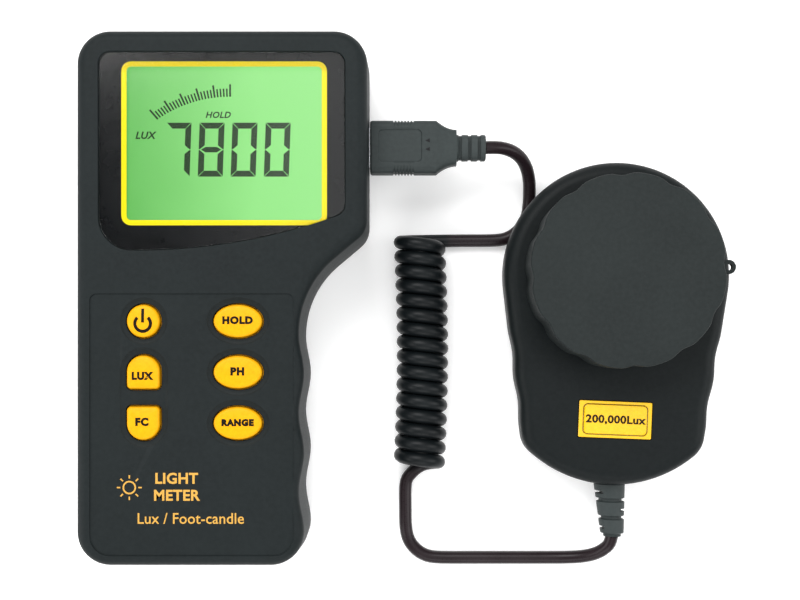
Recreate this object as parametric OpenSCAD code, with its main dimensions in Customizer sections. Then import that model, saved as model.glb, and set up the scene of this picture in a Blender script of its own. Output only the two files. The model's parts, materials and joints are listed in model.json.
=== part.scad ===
// Handheld light meter with a capped sensor head on a curly cord.
// Millimetres. The meter lies on its back on the XY plane: +Y runs to its display end, +Z out of its face.
// The origin is the middle of the meter's back.

/* [Meter case] */
// Width across the display end
case_w = 85; // [76:1:104]
// Length from end to end
case_l = 156; // [146:1:190]
// Height from the back to the face
case_h = 34; // [33:0.5:42]
// Height of the joint between the two shells
split_z = 17; // [16:0.5:19]
// How much narrower the handle is than the head of the case
handle_step = 18.4; // [15.4:0.5:21.4]
// Thickness of the side walls and of the back
wall = 2.4; // [2:0.1:3]
// Thickness of the front face
face_t = 2.6; // [2.4:0.1:3.2]
// Radius of the outer corners
corner_r = 10; // [7:0.5:14]
// Rounding of the front and back edges
edge_r = 3.2; // [2:0.2:4]
// Depth of the finger dips
dip_depth = 1.5; // [0.5:0.1:2.5]
// Number of finger dips
dips = 3; // [2:1:4]
// Radius of the sweep from the handle up to the shoulder
sweep_r = 28; // [22:1:30]
// Radius of the shoulder
shoulder_r = 7.8; // [6:0.2:10]

/* [Display] */
// Gap between the top of the case and the lens
lens_top_gap = 7; // [5:0.5:10]
// Length of the lens
lens_l = 57.1; // [52:0.1:62]
// Thickness of the lens
lens_t = 1.5; // [1.2:0.1:1.8]
// Radius of the lens's bowed lower edge
lens_bow_r = 170; // [120:5:240]
// Width of the printed border round the view area
border_w = 1.5; // [1:0.1:2.5]
// Thickness of the liquid crystal panel
lcd_t = 2; // [1.6:0.1:2.4]
// Thickness of the backlight
backlight_t = 2.7; // [2:0.1:3]

/* [Keys] */
// Radius of the round key
round_r = 5; // [4:0.1:5.6]
// Half width of an oval key
oval_a = 7.35; // [6:0.05:8]
// Half height of an oval key
oval_b = 5.05; // [4:0.05:5.6]
// Width of an arched key
arch_w = 10; // [8:0.2:11]
// Height of an arched key
arch_l = 10.25; // [9:0.05:11]
// Distance between the key rows
key_pitch = 14.75; // [14:0.05:16]
// Distance between the key columns
key_cols = 27.3; // [25:0.1:30]
// How far a key stands out of the face
key_stand = 1.2; // [0.9:0.1:2]
// How far a key goes in
key_travel = 0.8; // [0.5:0.1:0.8]
// Gap round each key
key_gap = 0.25; // [0.2:0.05:0.4]

/* [Battery] */
// Width of the battery
battery_w = 26.5; // [25:0.1:27]
// Length of the battery's can
battery_l = 46.4; // [45:0.1:47]
// Height of the battery
battery_h = 17.5; // [16.5:0.1:17.5]
// Width of the battery door
door_w = 29.6; // [28:0.1:31]

/* [Sensor head] */
// Radius of the head's round end
head_r = 34.2; // [33:0.1:37]
// Height of the head
head_h = 19; // [18:0.5:23]
// Height of the joint between the head's two shells
head_split = 9; // [9:0.5:10]
// Length from the centre of the round end to the tail
head_tail = 63.6; // [60:0.2:70]
// Taper of the head's sides, in degrees
head_taper = 7.9; // [6:0.1:9]
// Wall of the head
head_wall = 2.2; // [1.8:0.1:2.6]
// Rounding of the head's front edge
head_edge_r = 4; // [3:0.2:4.6]
// How far the foot of the head is set in under its rim
head_under = 5.4; // [5.4:0.1:6]
// Depth of the head's finger dips
head_dip = 0.6; // [0.2:0.1:1]
// Radius of the diffuser's dome where it meets its ring
dome_r = 21; // [18:0.5:22]
// Height of the dome above its skirt
dome_rise = 8.8; // [7:0.2:9]
// Thickness of the dome
dome_t = 1.6; // [1.2:0.1:2]
// Thickness of the ring round the dome, beyond the dome's skirt
ring_w = 4.5; // [3.5:0.1:5]

/* [Cap] */
// Outer radius of the cap
cap_r = 28.3; // [27.8:0.1:31]
// Height of the cap
cap_h = 18; // [17:0.5:22]
// Thickness of the cap's top
cap_top_t = 2.2; // [1.8:0.1:2.8]
// Number of scallops round the cap
scallops = 12; // [8:1:20]
// Depth of a scallop
scallop_depth = 0.7; // [0.3:0.1:1.2]
// Radius of the hole in the cap's ear
ear_hole_r = 1; // [0.8:0.1:1.2]

/* [Plug and cord] */
// Width of the plug's grip
plug_w = 15.9; // [15:0.1:17]
// Height of the plug's grip
plug_h = 8; // [7.6:0.1:9]
// Length of the plug's grip
plug_l = 19.9; // [18.4:0.5:24.4]
// Diameter of the cord
cord_d = 4; // [3.6:0.1:4]
// Outer diameter of the curly part
coil_d = 15.7; // [14:0.1:16.4]

/* [Hidden] */
$fn = 48;
eps = 0.02;

// Named clearances
fit = 0.15;       // a piece seated in a pocket
slip = 0.08;      // a piece that slides on a round one
stack_gap = 0.1;  // between stacked layers

// Meter outline
handle_w = case_w - handle_step;
side_x = case_w / 2;
top_y = case_l / 2;
grip_x = handle_w - side_x;
handle_mid = (grip_x - side_x) / 2;
draft = 0.3;
shoulder_y = top_y - 55;
first_dip_y = top_y - 88.4;
low_corner_y = corner_r - top_y;
dip_pitch = (first_dip_y - low_corner_y) / (dips - 0.5);
sweep_c = [grip_x - dip_depth + sweep_r, first_dip_y];
shoulder_c = [side_x - shoulder_r, shoulder_y];
// Direction of the face that runs straight from the sweep to the shoulder
sweep_to = shoulder_c - sweep_c;
lean = atan2(sweep_to[1], sweep_to[0]) - acos(-(sweep_r + shoulder_r) / norm(sweep_to));

// Heights in the meter, from the face down
face_z = case_h;
ceiling_z = face_z - face_t;
lens_top_z = face_z - fit;
lens_z = lens_top_z - lens_t;
mask_t = 0.2;
mask_z = lens_z - mask_t;
lcd_z = ceiling_z - 0.4 - lcd_t;
backlight_z = lcd_z - stack_gap - backlight_t;
board_t = 1.6;
board_top_z = backlight_z - 0.6;
board_z = board_top_z - board_t;

// Lens and view area
lens_x0 = 7.1 - side_x;
lens_x1 = side_x - 6.8;
lens_y1 = top_y - lens_top_gap;
lens_y0 = lens_y1 - lens_l;
lens_low_r = 9.5;
lens_r = 3.3;
bow_c = [lens_x0 + 11.4, lens_y0 + lens_bow_r];
view_x0 = lens_x0 + 6.2;
view_x1 = lens_x1 - 5.2;
view_y0 = lens_y0 + 7.2;
view_y1 = lens_y1 - 2.3;
view_r = 2.8;
lcd_margin = 1.6;

// Key panel and keys
panel_x0 = 4.5 - side_x;
panel_x1 = grip_x - 3.2;
panel_y0 = 3.4 - top_y;
panel_y1 = lens_y0 - 12.8;
panel_depth = 0.4;
collar_w = 2;
keys_x = handle_mid + 0.4;
keys_y = panel_y1 - 7.85;
flange_w = 1;
flange_t = 1;
flange_z = ceiling_z - stack_gap - flange_t;
stem_h = 1.3;
dome_gap = key_travel + stack_gap;
key_foot_z = flange_z - stem_h;

// Screws of the meter
case_boss_r = 3.25;
case_pilot_r = 1.25;
case_head_r = 2.6;
case_head_h = 2;
case_seat_z = 6;
case_boss_in = 7;
case_bosses = [[case_boss_in - side_x, top_y - case_boss_in], [side_x - case_boss_in, top_y - case_boss_in],
    [case_boss_in - side_x, case_boss_in - top_y], [grip_x - case_boss_in, case_boss_in - top_y]];
post_r = 2.2;
post_pilot_r = 0.9;
board_end_y = keys_y - 2 * key_pitch - 16;
posts = [[5.7 - side_x, top_y - 28], [side_x - 5.7, top_y - 24],
    [8.5 - side_x, board_end_y + 4], [grip_x - 9, board_end_y + 4]];

// Socket in the meter's side
usb_w = 12;
usb_h = 4.5;
port_y = top_y - 32;
port_z = split_z;
socket_w = usb_w + 1.1;
socket_h = usb_h + 1.2;
socket_l = 14;
socket_t = 0.3;
socket_x1 = side_x - 0.2;
plug_gap = 0.2;
plug_x0 = side_x + plug_gap;
// The plug's metal shell is a standard size
usb_l = 11.75;
usb_t = 0.3;
contact_pitch = 2.2;

// Battery bay
bay_gap = 0.3;
bay_x0 = handle_mid - battery_w / 2 - bay_gap;
bay_x1 = handle_mid + battery_w / 2 + bay_gap;
door_t = 1.1;
tongue_t = 1.2;
tongue_w = 1.5;
door_in_z = door_t + tongue_t;
pad_t = 0.6;
battery_z = door_in_z + pad_t;
battery_y0 = 4.6 - top_y;
battery_y1 = battery_y0 + battery_l;
snap_t = 3.4;
bay_y0 = battery_y0 - bay_gap;
bay_y1 = battery_y1 + snap_t + 1.4;
bay_z1 = battery_z + battery_h + bay_gap;
bay_wall = 1.2;

// Sensor head
head_turn = 1.3;
tail_arc_r = 38;
tail_corner_r = 9;
tail_c = [0, tail_arc_r - head_tail];
side_n = [cos(head_taper), -sin(head_taper)];
side_d = [-sin(head_taper), -cos(head_taper)];
// The corner between a tapered side and the tail touches both
corner_from = (head_r - tail_corner_r) * side_n - tail_c;
corner_along = corner_from * side_d;
corner_s = -corner_along
    + sqrt(corner_along * corner_along - corner_from * corner_from + pow(tail_arc_r - tail_corner_r, 2));
corner_c = (head_r - tail_corner_r) * side_n + corner_s * side_d;
corner_a = atan2(corner_c[1] - tail_c[1], corner_c[0] - tail_c[0]);
dip_run = [12, 42];
head_ceiling = head_h - head_wall;
head_floor = 2.2;
head_boss_r = 3;
head_pilot_r = 1;
head_screws = [[19, 13.5], [-19, 13.5], [16, -42], [-16, -42]];
head_pegs = [[9.5, 14], [-9.5, 14], [9.5, -21], [-9.5, -21]];
peg_r = 0.9;

// Optics, up from the head's face
throat_r = dome_r - 1;
seat_t = 0.6;
skirt_h = 1.4;
ring_h = 3.4;
ring_r = dome_r + fit + ring_w;
dome_base_z = head_h + seat_t;
dome_spring_z = dome_base_z + skirt_h;
dome_sphere_r = (dome_r * dome_r + dome_rise * dome_rise) / (2 * dome_rise);
sensor_board_z = head_split + 0.6;
holder_r = 9.5;
filter_r = 8;
filter_t = 1.5;
holder_top_z = head_ceiling - 0.3;

// Cap
cap_z = head_h;
cap_top_z = cap_z + cap_h;
cap_bore_r = ring_r + slip;
cap_turn = 5;
ear_r = 2.15;
ear_out = cap_r + 4.4;
ear_z = cap_z + 0.6;
ear_t = 2;
ear_a = 5;

// Label
label_w = 21.9;
label_l = 11;
label_t = 0.9;
label_y = -43.7;
label_sink = 0.3;
label_turn = 1;

// Tail strain relief and plug strain relief
relief_z = 8;
relief_x = 0.9;
relief_in = 11;
relief_r0 = 4.8;
relief_r1 = 3.55;
relief_l = 16.3;
relief_steps = 3;
relief_groove = 1;
relief_gap = 0.2;
relief_collar_r = 5.2;
neck_w = 10.6;
neck_h = 7.2;
taper_l = 6.1;
plug_relief_w = 7.8;
plug_relief_l = 8.8;
plug_slots = 3;

// Routes of the cord and the wires
cord_sides = 8;
cord_r = cord_d / 2;
// Where the cord leaves the plug; the coil, the run below it and the sensor head are placed from here
cord_from = [plug_x0 + plug_l + taper_l + plug_relief_l, port_y];
coil_x = cord_from[0] - 19.15;
coil_y1 = cord_from[1] - 24.4;
coil_y0 = coil_y1 - 74;
sleeve_end = [relief_x, -(head_tail + relief_gap + relief_l)];
head_pos = cord_from + [38.9825, -118.3998]
    - [sleeve_end[0] * cos(head_turn) + sleeve_end[1] * sin(head_turn),
    sleeve_end[1] * cos(head_turn) - sleeve_end[0] * sin(head_turn)];
// Each point is along, across and the share of the height between lying down and its end
function route(points, z_end) =
    [for (p = points) [cord_from[0] + p[0], cord_from[1] + p[1], cord_r + p[2] * (z_end - cord_r)]];
upper_route = route([[0, 0, 1], [2.5, 0, 0.98], [6, -0.4, 0.88], [9.5, -2.1, 0.7], [12.1, -5, 0.4933],
    [13.6, -8.4, 0.2933], [14.1, -12.2, 0.1267], [14.2, -16, 0.0333], [13.9, -19, 0], [12.5, -22.1, 0],
    [10.1, -24.6, 0], [7.1, -26.1, 0], [3.5, -26.5, 0], [-3.5, -26.5, 0], [-10.5, -26.5, 0],
    [-16.5, -26.5, 0]], port_z);
lower_route = route([[-15.5, -95.4, 0], [-19.9, -96.4, 0], [-23, -99.6, 0], [-24.1, -104, 0],
    [-24.1, -110, 0], [-24.1, -116, 0], [-23.4, -120, 0], [-21.2, -123.2, 0], [-18.1, -125.3, 0],
    [-14.5, -126, 0], [-5.5, -126, 0], [3.5, -126, 0], [12.5, -126, 0], [20.5, -126, 0],
    [26.5, -125.9, 0.0833], [31.5, -125.4, 0.3333], [35.3, -124.2, 0.6167], [37.8, -122.3, 0.85],
    [39, -120.4, 0.9667], [39.3, -118.4, 1]], relief_z);
lead_r = 0.6;

// Arcs are [centre x, centre y, radius, from, to, side, steps]; side is 1 where the outline bulges, -1 where
// it is hollow, so that an inset outline keeps its count of points.
function arc_run(arc, inset) = [for (i = [0:arc[6]])
    let (a = arc[3] + (arc[4] - arc[3]) * i / arc[6], r = arc[2] - arc[5] * inset)
    [arc[0] + r * cos(a), arc[1] + r * sin(a)]];

// The points without any that repeat the one after them
function distinct(pts) = [for (i = [0:len(pts) - 1])
    if (norm(pts[i] - pts[(i + 1) % len(pts)]) > 0.01) pts[i]];

function outline(arcs, inset = 0) = distinct([for (arc = arcs) each arc_run(arc, inset)]);

// Four corner arcs of a box, with one radius at its low side and one at its high side
function box_arcs(x0, y0, x1, y1, low_r, high_r, steps = 6) = [
    [x0 + low_r, y0 + low_r, low_r, 180, 270, 1, steps], [x1 - low_r, y0 + low_r, low_r, 270, 360, 1, steps],
    [x1 - high_r, y1 - high_r, high_r, 0, 90, 1, steps], [x0 + high_r, y1 - high_r, high_r, 90, 180, 1, steps]];

function ellipse(a, b, steps = 40) = [for (i = [0:steps - 1])
    [a * cos(360 * i / steps), b * sin(360 * i / steps)]];

// Heights and insets of a rounded edge that ends on the face at z
function edge_rings(z, r, from, up, steps = 5) = [for (i = [0:steps])
    let (a = 90 * i / steps) [z + up * r * (sin(a) - 1), from + r * (1 - cos(a))]];

function reversed(list) = [for (i = [1:len(list)]) list[len(list) - i]];

// Faces of a closed skin over rings of n points each
function skin_faces(n, rings) = [
    [for (i = [0:n - 1]) i],
    [for (i = [1:n]) rings * n - i],
    for (k = [0:rings - 2]) for (i = [0:n - 1])
        each [[k * n + i, (k + 1) * n + i, (k + 1) * n + (i + 1) % n],
            [k * n + i, (k + 1) * n + (i + 1) % n, k * n + (i + 1) % n]]];

// Solid through outlines stacked along Z, given as [z, points] from the lowest up
module stack(sections) {
    polyhedron([for (s = sections) for (p = s[1]) [p[0], p[1], s[0]]],
        skin_faces(len(sections[0][1]), len(sections)), convexity = 6);
}

// The same for a form that widens upwards, built upside down and mirrored
module rising_stack(sections) {
    mirror([0, 0, 1]) stack([for (s = reversed(sections)) [-s[0], s[1]]]);
}

module slab(points, z0, z1) {
    translate([0, 0, z0]) linear_extrude(z1 - z0) polygon(points);
}

module block(x0, y0, z0, x1, y1, z1) {
    translate([x0, y0, z0]) cube([x1 - x0, y1 - y0, z1 - z0]);
}

module rod(x, y, z0, z1, r) {
    translate([x, y, z0]) cylinder(h = z1 - z0, r = r);
}

function unit(v) = v / norm(v);
function heading(path, i) = unit(path[min(i + 1, len(path) - 1)] - path[max(i - 1, 0)]);
function tube_ring(path, i, r, sides) =
    let (dir = heading(path, i), side = unit(cross([0, 0, 1], dir)), up = cross(dir, side))
    [for (k = [0:sides - 1]) let (a = 360 * (k + 0.5) / sides) path[i] + r * (cos(a) * side + sin(a) * up)];

// Round tube swept along a route of points
module tube(path, r, sides) {
    polyhedron([for (i = [0:len(path) - 1]) each tube_ring(path, i, r, sides)],
        skin_faces(sides, len(path)), convexity = 6);
}

// ---- Meter case ----

function grip_run(inset) = let (span = first_dip_y - low_corner_y, steps = 10 * dips)
    [for (i = [1:steps - 1]) let (y = low_corner_y + span * i / steps)
        [grip_x - inset - dip_depth * (1 + cos(360 * (y - first_dip_y) / dip_pitch)) / 2, y]];

function case_outline(inset = 0) = distinct(concat(
    arc_run([corner_r - side_x, low_corner_y, corner_r, 180, 270, 1, 8], inset),
    arc_run([grip_x - corner_r, low_corner_y, corner_r, 270, 360, 1, 8], inset),
    grip_run(inset),
    arc_run([sweep_c[0], sweep_c[1], sweep_r, 180, 180 + lean, -1, 10], inset),
    arc_run([shoulder_c[0], shoulder_c[1], shoulder_r, lean, 0, 1, 6], inset),
    arc_run([side_x - corner_r, top_y - corner_r, corner_r, 0, 90, 1, 8], inset),
    arc_run([corner_r - side_x, top_y - corner_r, corner_r, 90, 180, 1, 8], inset)));

// Each shell's drafted form runs on past the joint and is cut off flat there
split_over = 2;
function over_inset(h) = -draft * split_over / (h - edge_r);
front_rings = concat([[split_z - split_over, over_inset(face_z - split_z)]],
    edge_rings(face_z, edge_r, draft, 1));
rear_rings = concat(reversed(edge_rings(0, edge_r, draft, -1)), [[split_z + split_over, over_inset(split_z)]]);

module case_front() {
    difference() {
        stack([for (ring = front_rings) [ring[0], case_outline(ring[1])]]);
        block(-case_w, -case_l, 0, case_w, case_l, split_z);
    }
}

module case_rear() {
    difference() {
        rising_stack([for (ring = rear_rings) [ring[0], case_outline(ring[1])]]);
        block(-case_w, -case_l, split_z, case_w, case_l, case_h);
    }
}

lip_t = 1;
lip_h = 1.2;

// Opening for the socket, through both shells
module port_cut() {
    block(socket_x1 - socket_l - fit, port_y - socket_w / 2 - fit, port_z - socket_h / 2 - fit,
        side_x + 1, port_y + socket_w / 2 + fit, port_z + socket_h / 2 + fit);
}

bow_low_a = 270 - asin((bow_c[0] - lens_x0 - lens_low_r) / (lens_bow_r - lens_low_r));
bow_high_a = 270 + asin((lens_x1 - lens_r - bow_c[0]) / (lens_bow_r - lens_r));
lens_arcs = [
    [lens_x0 + lens_low_r, bow_c[1] + (lens_bow_r - lens_low_r) * sin(bow_low_a), lens_low_r,
        180, bow_low_a, 1, 8],
    [bow_c[0], bow_c[1], lens_bow_r, bow_low_a, bow_high_a, 1, 12],
    [lens_x1 - lens_r, bow_c[1] + (lens_bow_r - lens_r) * sin(bow_high_a), lens_r, bow_high_a, 360, 1, 5],
    [lens_x1 - lens_r, lens_y1 - lens_r, lens_r, 0, 90, 1, 6],
    [lens_x0 + lens_r, lens_y1 - lens_r, lens_r, 90, 180, 1, 6]];
view_arcs = box_arcs(view_x0, view_y0, view_x1, view_y1, view_r, view_r);
panel_arcs = box_arcs(panel_x0, panel_y0, panel_x1, panel_y1, 5.8, 2);

// Outline of a key's crown about the key's own centre
function key_outline(shape, grow) =
    shape == "round" ? outline([[0, 0, round_r, 0, 354, 1, 59]], -grow)
    : shape == "oval" ? ellipse(oval_a + grow, oval_b + grow)
    : outline(box_arcs(-arch_w / 2, -arch_l / 2, arch_w / 2, arch_l / 2,
        shape == "arch" ? 1.4 : arch_w / 2 - 0.05, shape == "arch" ? arch_w / 2 - 0.05 : 1.4), -grow);

keys = [["round", -1, 0], ["arch", -1, 1], ["bowl", -1, 2], ["oval", 1, 0], ["oval", 1, 1], ["oval", 1, 2]];
function key_pos(key) = [keys_x + key[1] * key_cols / 2, keys_y - key[2] * key_pitch];

module at_key(key) {
    translate([key_pos(key)[0], key_pos(key)[1], 0]) children();
}

// Shallow collars that the keys stand in: the two arched keys share a long one
module collars(z0, z1) {
    for (key = keys)
        if (key[0] == "round" || key[0] == "oval") at_key(key) slab(key_outline(key[0], collar_w), z0, z1);
    arch_x = key_pos(keys[1])[0];
    arch_y1 = key_pos(keys[1])[1] + arch_l / 2;
    arch_y0 = key_pos(keys[2])[1] - arch_l / 2;
    collar_r = arch_w / 2 + collar_w / 2;
    slab(outline(box_arcs(arch_x - collar_r, arch_y0 - collar_w / 2, arch_x + collar_r, arch_y1 + collar_w / 2,
        collar_r - 0.05, collar_r - 0.05)), z0, z1);
}

module front_shell() {
    collar_z = face_z - panel_depth - 0.4;
    color([0.22, 0.24, 0.24]) difference() {
        union() {
            difference() {
                case_front();
                slab(case_outline(wall), split_z - 1, ceiling_z);
                slab(case_outline(wall - lip_t - fit), split_z - 1, split_z + lip_h + fit);
            }
            for (b = case_bosses) rod(b[0], b[1], split_z + stack_gap, ceiling_z + eps, case_boss_r);
            for (p = posts) rod(p[0], p[1], board_top_z, ceiling_z + eps, post_r);
        }
        slab(outline(lens_arcs, -fit), mask_z, face_z + 1);
        slab(outline(view_arcs, -0.5), ceiling_z - 1, face_z + 1);
        slab(outline(panel_arcs), face_z - panel_depth, face_z + 1);
        collars(collar_z, face_z + 1);
        for (key = keys) at_key(key) slab(key_outline(key[0], key_gap), ceiling_z - 1, face_z + 1);
        for (b = case_bosses) rod(b[0], b[1], split_z - 1, ceiling_z, case_pilot_r);
        for (p = posts) rod(p[0], p[1], board_top_z - 1, ceiling_z, post_pilot_r);
        port_cut();
    }
}

module rear_shell() {
    frame_w = door_w / 2 + tongue_w + 1.6;
    rail_z = door_in_z + 1.4;
    color([0.21, 0.23, 0.23]) difference() {
        union() {
            difference() {
                case_rear();
                slab(case_outline(wall), wall, split_z + 1);
            }
            difference() {
                slab(case_outline(wall - lip_t), split_z - 2, split_z + lip_h);
                slab(case_outline(wall), split_z - 3, split_z + lip_h + 1);
            }
            for (b = case_bosses) rod(b[0], b[1], 1, split_z, case_boss_r);
            intersection() {
                slab(case_outline(wall / 2), 0, split_z - 3);
                union() {
                    block(bay_x0 - bay_wall, -top_y, 1, bay_x1 + bay_wall, bay_y1 + bay_wall, split_z);
                    block(handle_mid - frame_w, -top_y, 1, handle_mid + frame_w, bay_y1 + bay_wall + 1.4,
                        rail_z);
                }
            }
            block(bay_x0 - bay_wall, bay_y0 - bay_wall, split_z - 4, bay_x1 + bay_wall, bay_y1 + bay_wall,
                bay_z1 + bay_wall);
        }
        for (b = case_bosses) {
            rod(b[0], b[1], -1, case_seat_z, case_head_r + fit);
            rod(b[0], b[1], -1, split_z + 1, case_pilot_r + 0.2);
        }
        block(bay_x0, bay_y0, door_in_z, bay_x1, bay_y1, bay_z1);
        door_cut(fit);
        lead_slot = 2.4;
        block(handle_mid - lead_slot, bay_y1 - 1, bay_z1 - 3, handle_mid + lead_slot, bay_y1 + 3, bay_z1 - 0.6);
        port_cut();
    }
}

// ---- Battery door and battery ----

door_y1 = bay_y1 + 1;

// Room for the door: its outer plate between the lips and its tongues above them
module door_cut(gap) {
    block(handle_mid - door_w / 2 - gap, -top_y - 1, -1, handle_mid + door_w / 2 + gap, door_y1 + gap,
        door_t + eps);
    block(handle_mid - door_w / 2 - tongue_w - gap, -top_y - 1, door_t - gap,
        handle_mid + door_w / 2 + tongue_w + gap, door_y1 + gap, door_in_z + gap);
}

module battery_door() {
    grooves = 5;
    color([0.21, 0.23, 0.23]) difference() {
        intersection() {
            case_rear();
            union() {
                block(handle_mid - door_w / 2, -top_y - 1, -1, handle_mid + door_w / 2, door_y1, door_t + eps);
                block(handle_mid - door_w / 2 - tongue_w, -top_y - 1, door_t,
                    handle_mid + door_w / 2 + tongue_w, door_y1, door_in_z);
            }
        }
        for (i = [0:grooves - 1])
            block(handle_mid - 8, 14 - top_y + 2.6 * i, -1, handle_mid + 8, 15 - top_y + 2.6 * i, 0.4);
    }
}

module battery_pad() {
    color([0.12, 0.12, 0.13])
        block(handle_mid - 9, battery_y0 + 8, door_in_z + stack_gap, handle_mid + 9, battery_y1 - 8, battery_z);
}

module battery() {
    color([0.16, 0.17, 0.2])
        translate([handle_mid, battery_y0, battery_z + battery_h / 2]) rotate([-90, 0, 0])
            slab(outline(box_arcs(-battery_w / 2, -battery_h / 2, battery_w / 2, battery_h / 2, 2, 2)),
                0, battery_l);
}

module battery_terminals() {
    color([0.75, 0.75, 0.78]) at_terminals() cylinder(h = 2.1, r = 2.8);
}

module at_terminals() {
    for (s = [-1, 1])
        translate([handle_mid + s * 6.35, battery_y1, battery_z + battery_h / 2])
            rotate([-90, 0, 0]) children();
}

module battery_snap() {
    color([0.1, 0.1, 0.11]) difference() {
        translate([0, battery_y1 + 0.4, battery_z + battery_h / 2]) rotate([-90, 0, 0])
            slab(outline(box_arcs(handle_mid - 12.5, -6, handle_mid + 12.5, 6, 3, 3)), 0, snap_t - 0.4);
        at_terminals() translate([0, 0, -1]) cylinder(h = 3.1 + stack_gap, r = 2.8 + fit);
    }
}

module battery_leads() {
    y = battery_y1 + snap_t;
    for (s = [-1, 1])
        color(s < 0 ? [0.7, 0.1, 0.08] : [0.08, 0.08, 0.08])
            tube([[handle_mid + s, y, battery_z + battery_h / 2 + 2], [handle_mid + s, y + 0.5, bay_z1 - 1.9],
                [handle_mid + s, y + 2.4, bay_z1 - 1.7], [handle_mid + s, y + 4.6, bay_z1 - 0.6],
                [handle_mid + s, y + 6.6, board_z - 1.2], [handle_mid + s, y + 7, board_z]], lead_r, 8);
}

// ---- Screws ----

module case_screws() {
    color([0.6, 0.6, 0.62]) for (b = case_bosses) difference() {
        union() {
            rod(b[0], b[1], case_seat_z - case_head_h, case_seat_z, case_head_r);
            rod(b[0], b[1], case_seat_z - eps, split_z + 9, case_pilot_r);
        }
        for (turn = [0, 90]) translate([b[0], b[1], case_seat_z - case_head_h]) rotate([0, 0, turn])
            cube([3, 0.6, 2], center = true);
    }
}

module board_screws() {
    head_h = 1.2;
    color([0.7, 0.7, 0.72]) for (p = posts) difference() {
        union() {
            rod(p[0], p[1], board_z - head_h, board_z, post_pilot_r * 2);
            rod(p[0], p[1], board_z - eps, board_top_z + 4, post_pilot_r);
        }
        for (turn = [0, 90]) translate([p[0], p[1], board_z - head_h]) rotate([0, 0, turn])
            cube([2, 0.4, 1], center = true);
    }
}

// ---- Keys ----

module key(shape) {
    color([1, 0.8, 0.05]) {
        slab(key_outline(shape, flange_w), flange_z, flange_z + flange_t);
        rod(0, 0, key_foot_z, flange_z + eps, 2.4);
        stack([for (ring = [[flange_z + flange_t - eps, 0], [face_z + key_stand - 0.7, 0],
            [face_z + key_stand - 0.3, 0.2], [face_z + key_stand, 0.7]])
            [ring[0], key_outline(shape, -ring[1])]]);
    }
}

module power_button() { at_key(keys[0]) key("round"); }
module lux_button() { at_key(keys[1]) key("arch"); }
module fc_button() { at_key(keys[2]) key("bowl"); }
module hold_button() { at_key(keys[3]) key("oval"); }
module peak_button() { at_key(keys[4]) key("oval"); }
module range_button() { at_key(keys[5]) key("oval"); }

module key_mat() {
    mat_t = 0.6;
    x0 = key_pos(keys[0])[0] - 8;
    x1 = key_pos(keys[5])[0] + 9;
    color([0.75, 0.76, 0.74]) {
        slab(outline(box_arcs(x0, keys_y - 2 * key_pitch - 7, x1, keys_y + 7, 1.5, 1.5)),
            board_top_z, board_top_z + mat_t);
        for (key = keys) at_key(key)
            translate([0, 0, board_top_z + mat_t - eps])
                cylinder(h = key_foot_z - dome_gap - board_top_z - mat_t, r1 = 3.4, r2 = 2.4);
    }
}

// ---- Display ----

module display_window() {
    color([0.6, 0.7, 0.72, 0.35]) slab(outline(lens_arcs), lens_z, lens_top_z);
}

module display_mask() {
    color([0.1, 0.11, 0.12]) difference() {
        slab(outline(lens_arcs), mask_z, lens_z);
        slab(outline(view_arcs), mask_z - 1, lens_z + 1);
    }
}

module view_frame() {
    color([0.8, 0.74, 0.15]) difference() {
        slab(outline(view_arcs), mask_z, lens_z);
        slab(outline(view_arcs, border_w), mask_z - 1, lens_z + 1);
    }
}

module lcd_panel() {
    color([0.5, 0.85, 0.45])
        block(view_x0 - lcd_margin, view_y0 - lcd_margin, lcd_z, view_x1 + lcd_margin, view_y1 + lcd_margin,
            lcd_z + lcd_t);
}

module backlight_panel() {
    color([0.85, 0.9, 0.82])
        block(view_x0, view_y0 + 0.8, backlight_z, view_x1, view_y1 - 0.8, backlight_z + backlight_t);
}

module zebra_strips() {
    color([0.75, 0.35, 0.5]) for (y = [view_y0 - lcd_margin + 0.2, view_y1 + lcd_margin - 2.2])
        block(view_x0 + 3, y, board_top_z, view_x1 - 3, y + 2, lcd_z);
}

// ---- Main board and socket ----

module main_board() {
    color([0.1, 0.4, 0.2]) difference() {
        intersection() {
            slab(case_outline(wall + 1), board_z, board_top_z);
            block(-case_w, board_end_y, 0, case_w, case_l, case_h);
        }
        for (b = case_bosses) rod(b[0], b[1], board_z - 1, board_top_z + 1, case_boss_r + 0.4);
        for (p = posts) rod(p[0], p[1], board_z - 1, board_top_z + 1, post_pilot_r + 0.2);
    }
}

module main_chip() {
    color([0.08, 0.08, 0.08]) block(-10, view_y0 + 10, board_z - 1.6, 4, view_y0 + 24, board_z);
}

module board_parts() {
    color([0.55, 0.5, 0.35]) {
        for (i = [0:4]) block(-30 + 4 * i, view_y0 + 4, board_z - 0.8, -28 + 4 * i, view_y0 + 5.2, board_z);
        rod(10, view_y0 + 8, board_z - 5, board_z, 2.5);
        block(12, view_y0 + 20, board_z - 3.4, 22, view_y0 + 24, board_z);
        block(-26, view_y0 + 28, board_z - 1.4, -20, view_y0 + 33, board_z);
    }
}

module usb_socket() {
    x0 = socket_x1 - socket_l;
    inner_w = socket_w - 2 * socket_t;
    inner_h = socket_h - 2 * socket_t;
    color([0.72, 0.73, 0.75]) {
        difference() {
            block(x0, port_y - socket_w / 2, port_z - socket_h / 2, socket_x1, port_y + socket_w / 2,
                port_z + socket_h / 2);
            block(x0 + socket_t, port_y - inner_w / 2, port_z - inner_h / 2, socket_x1 + 1,
                port_y + inner_w / 2, port_z + inner_h / 2);
        }
        leg_y = (socket_w - socket_t) / 2;
        for (s = [-1, 1])
            block(x0 + 4, port_y + s * leg_y - socket_t / 2, port_z, x0 + 6, port_y + s * leg_y + socket_t / 2,
                board_z);
    }
}

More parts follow.
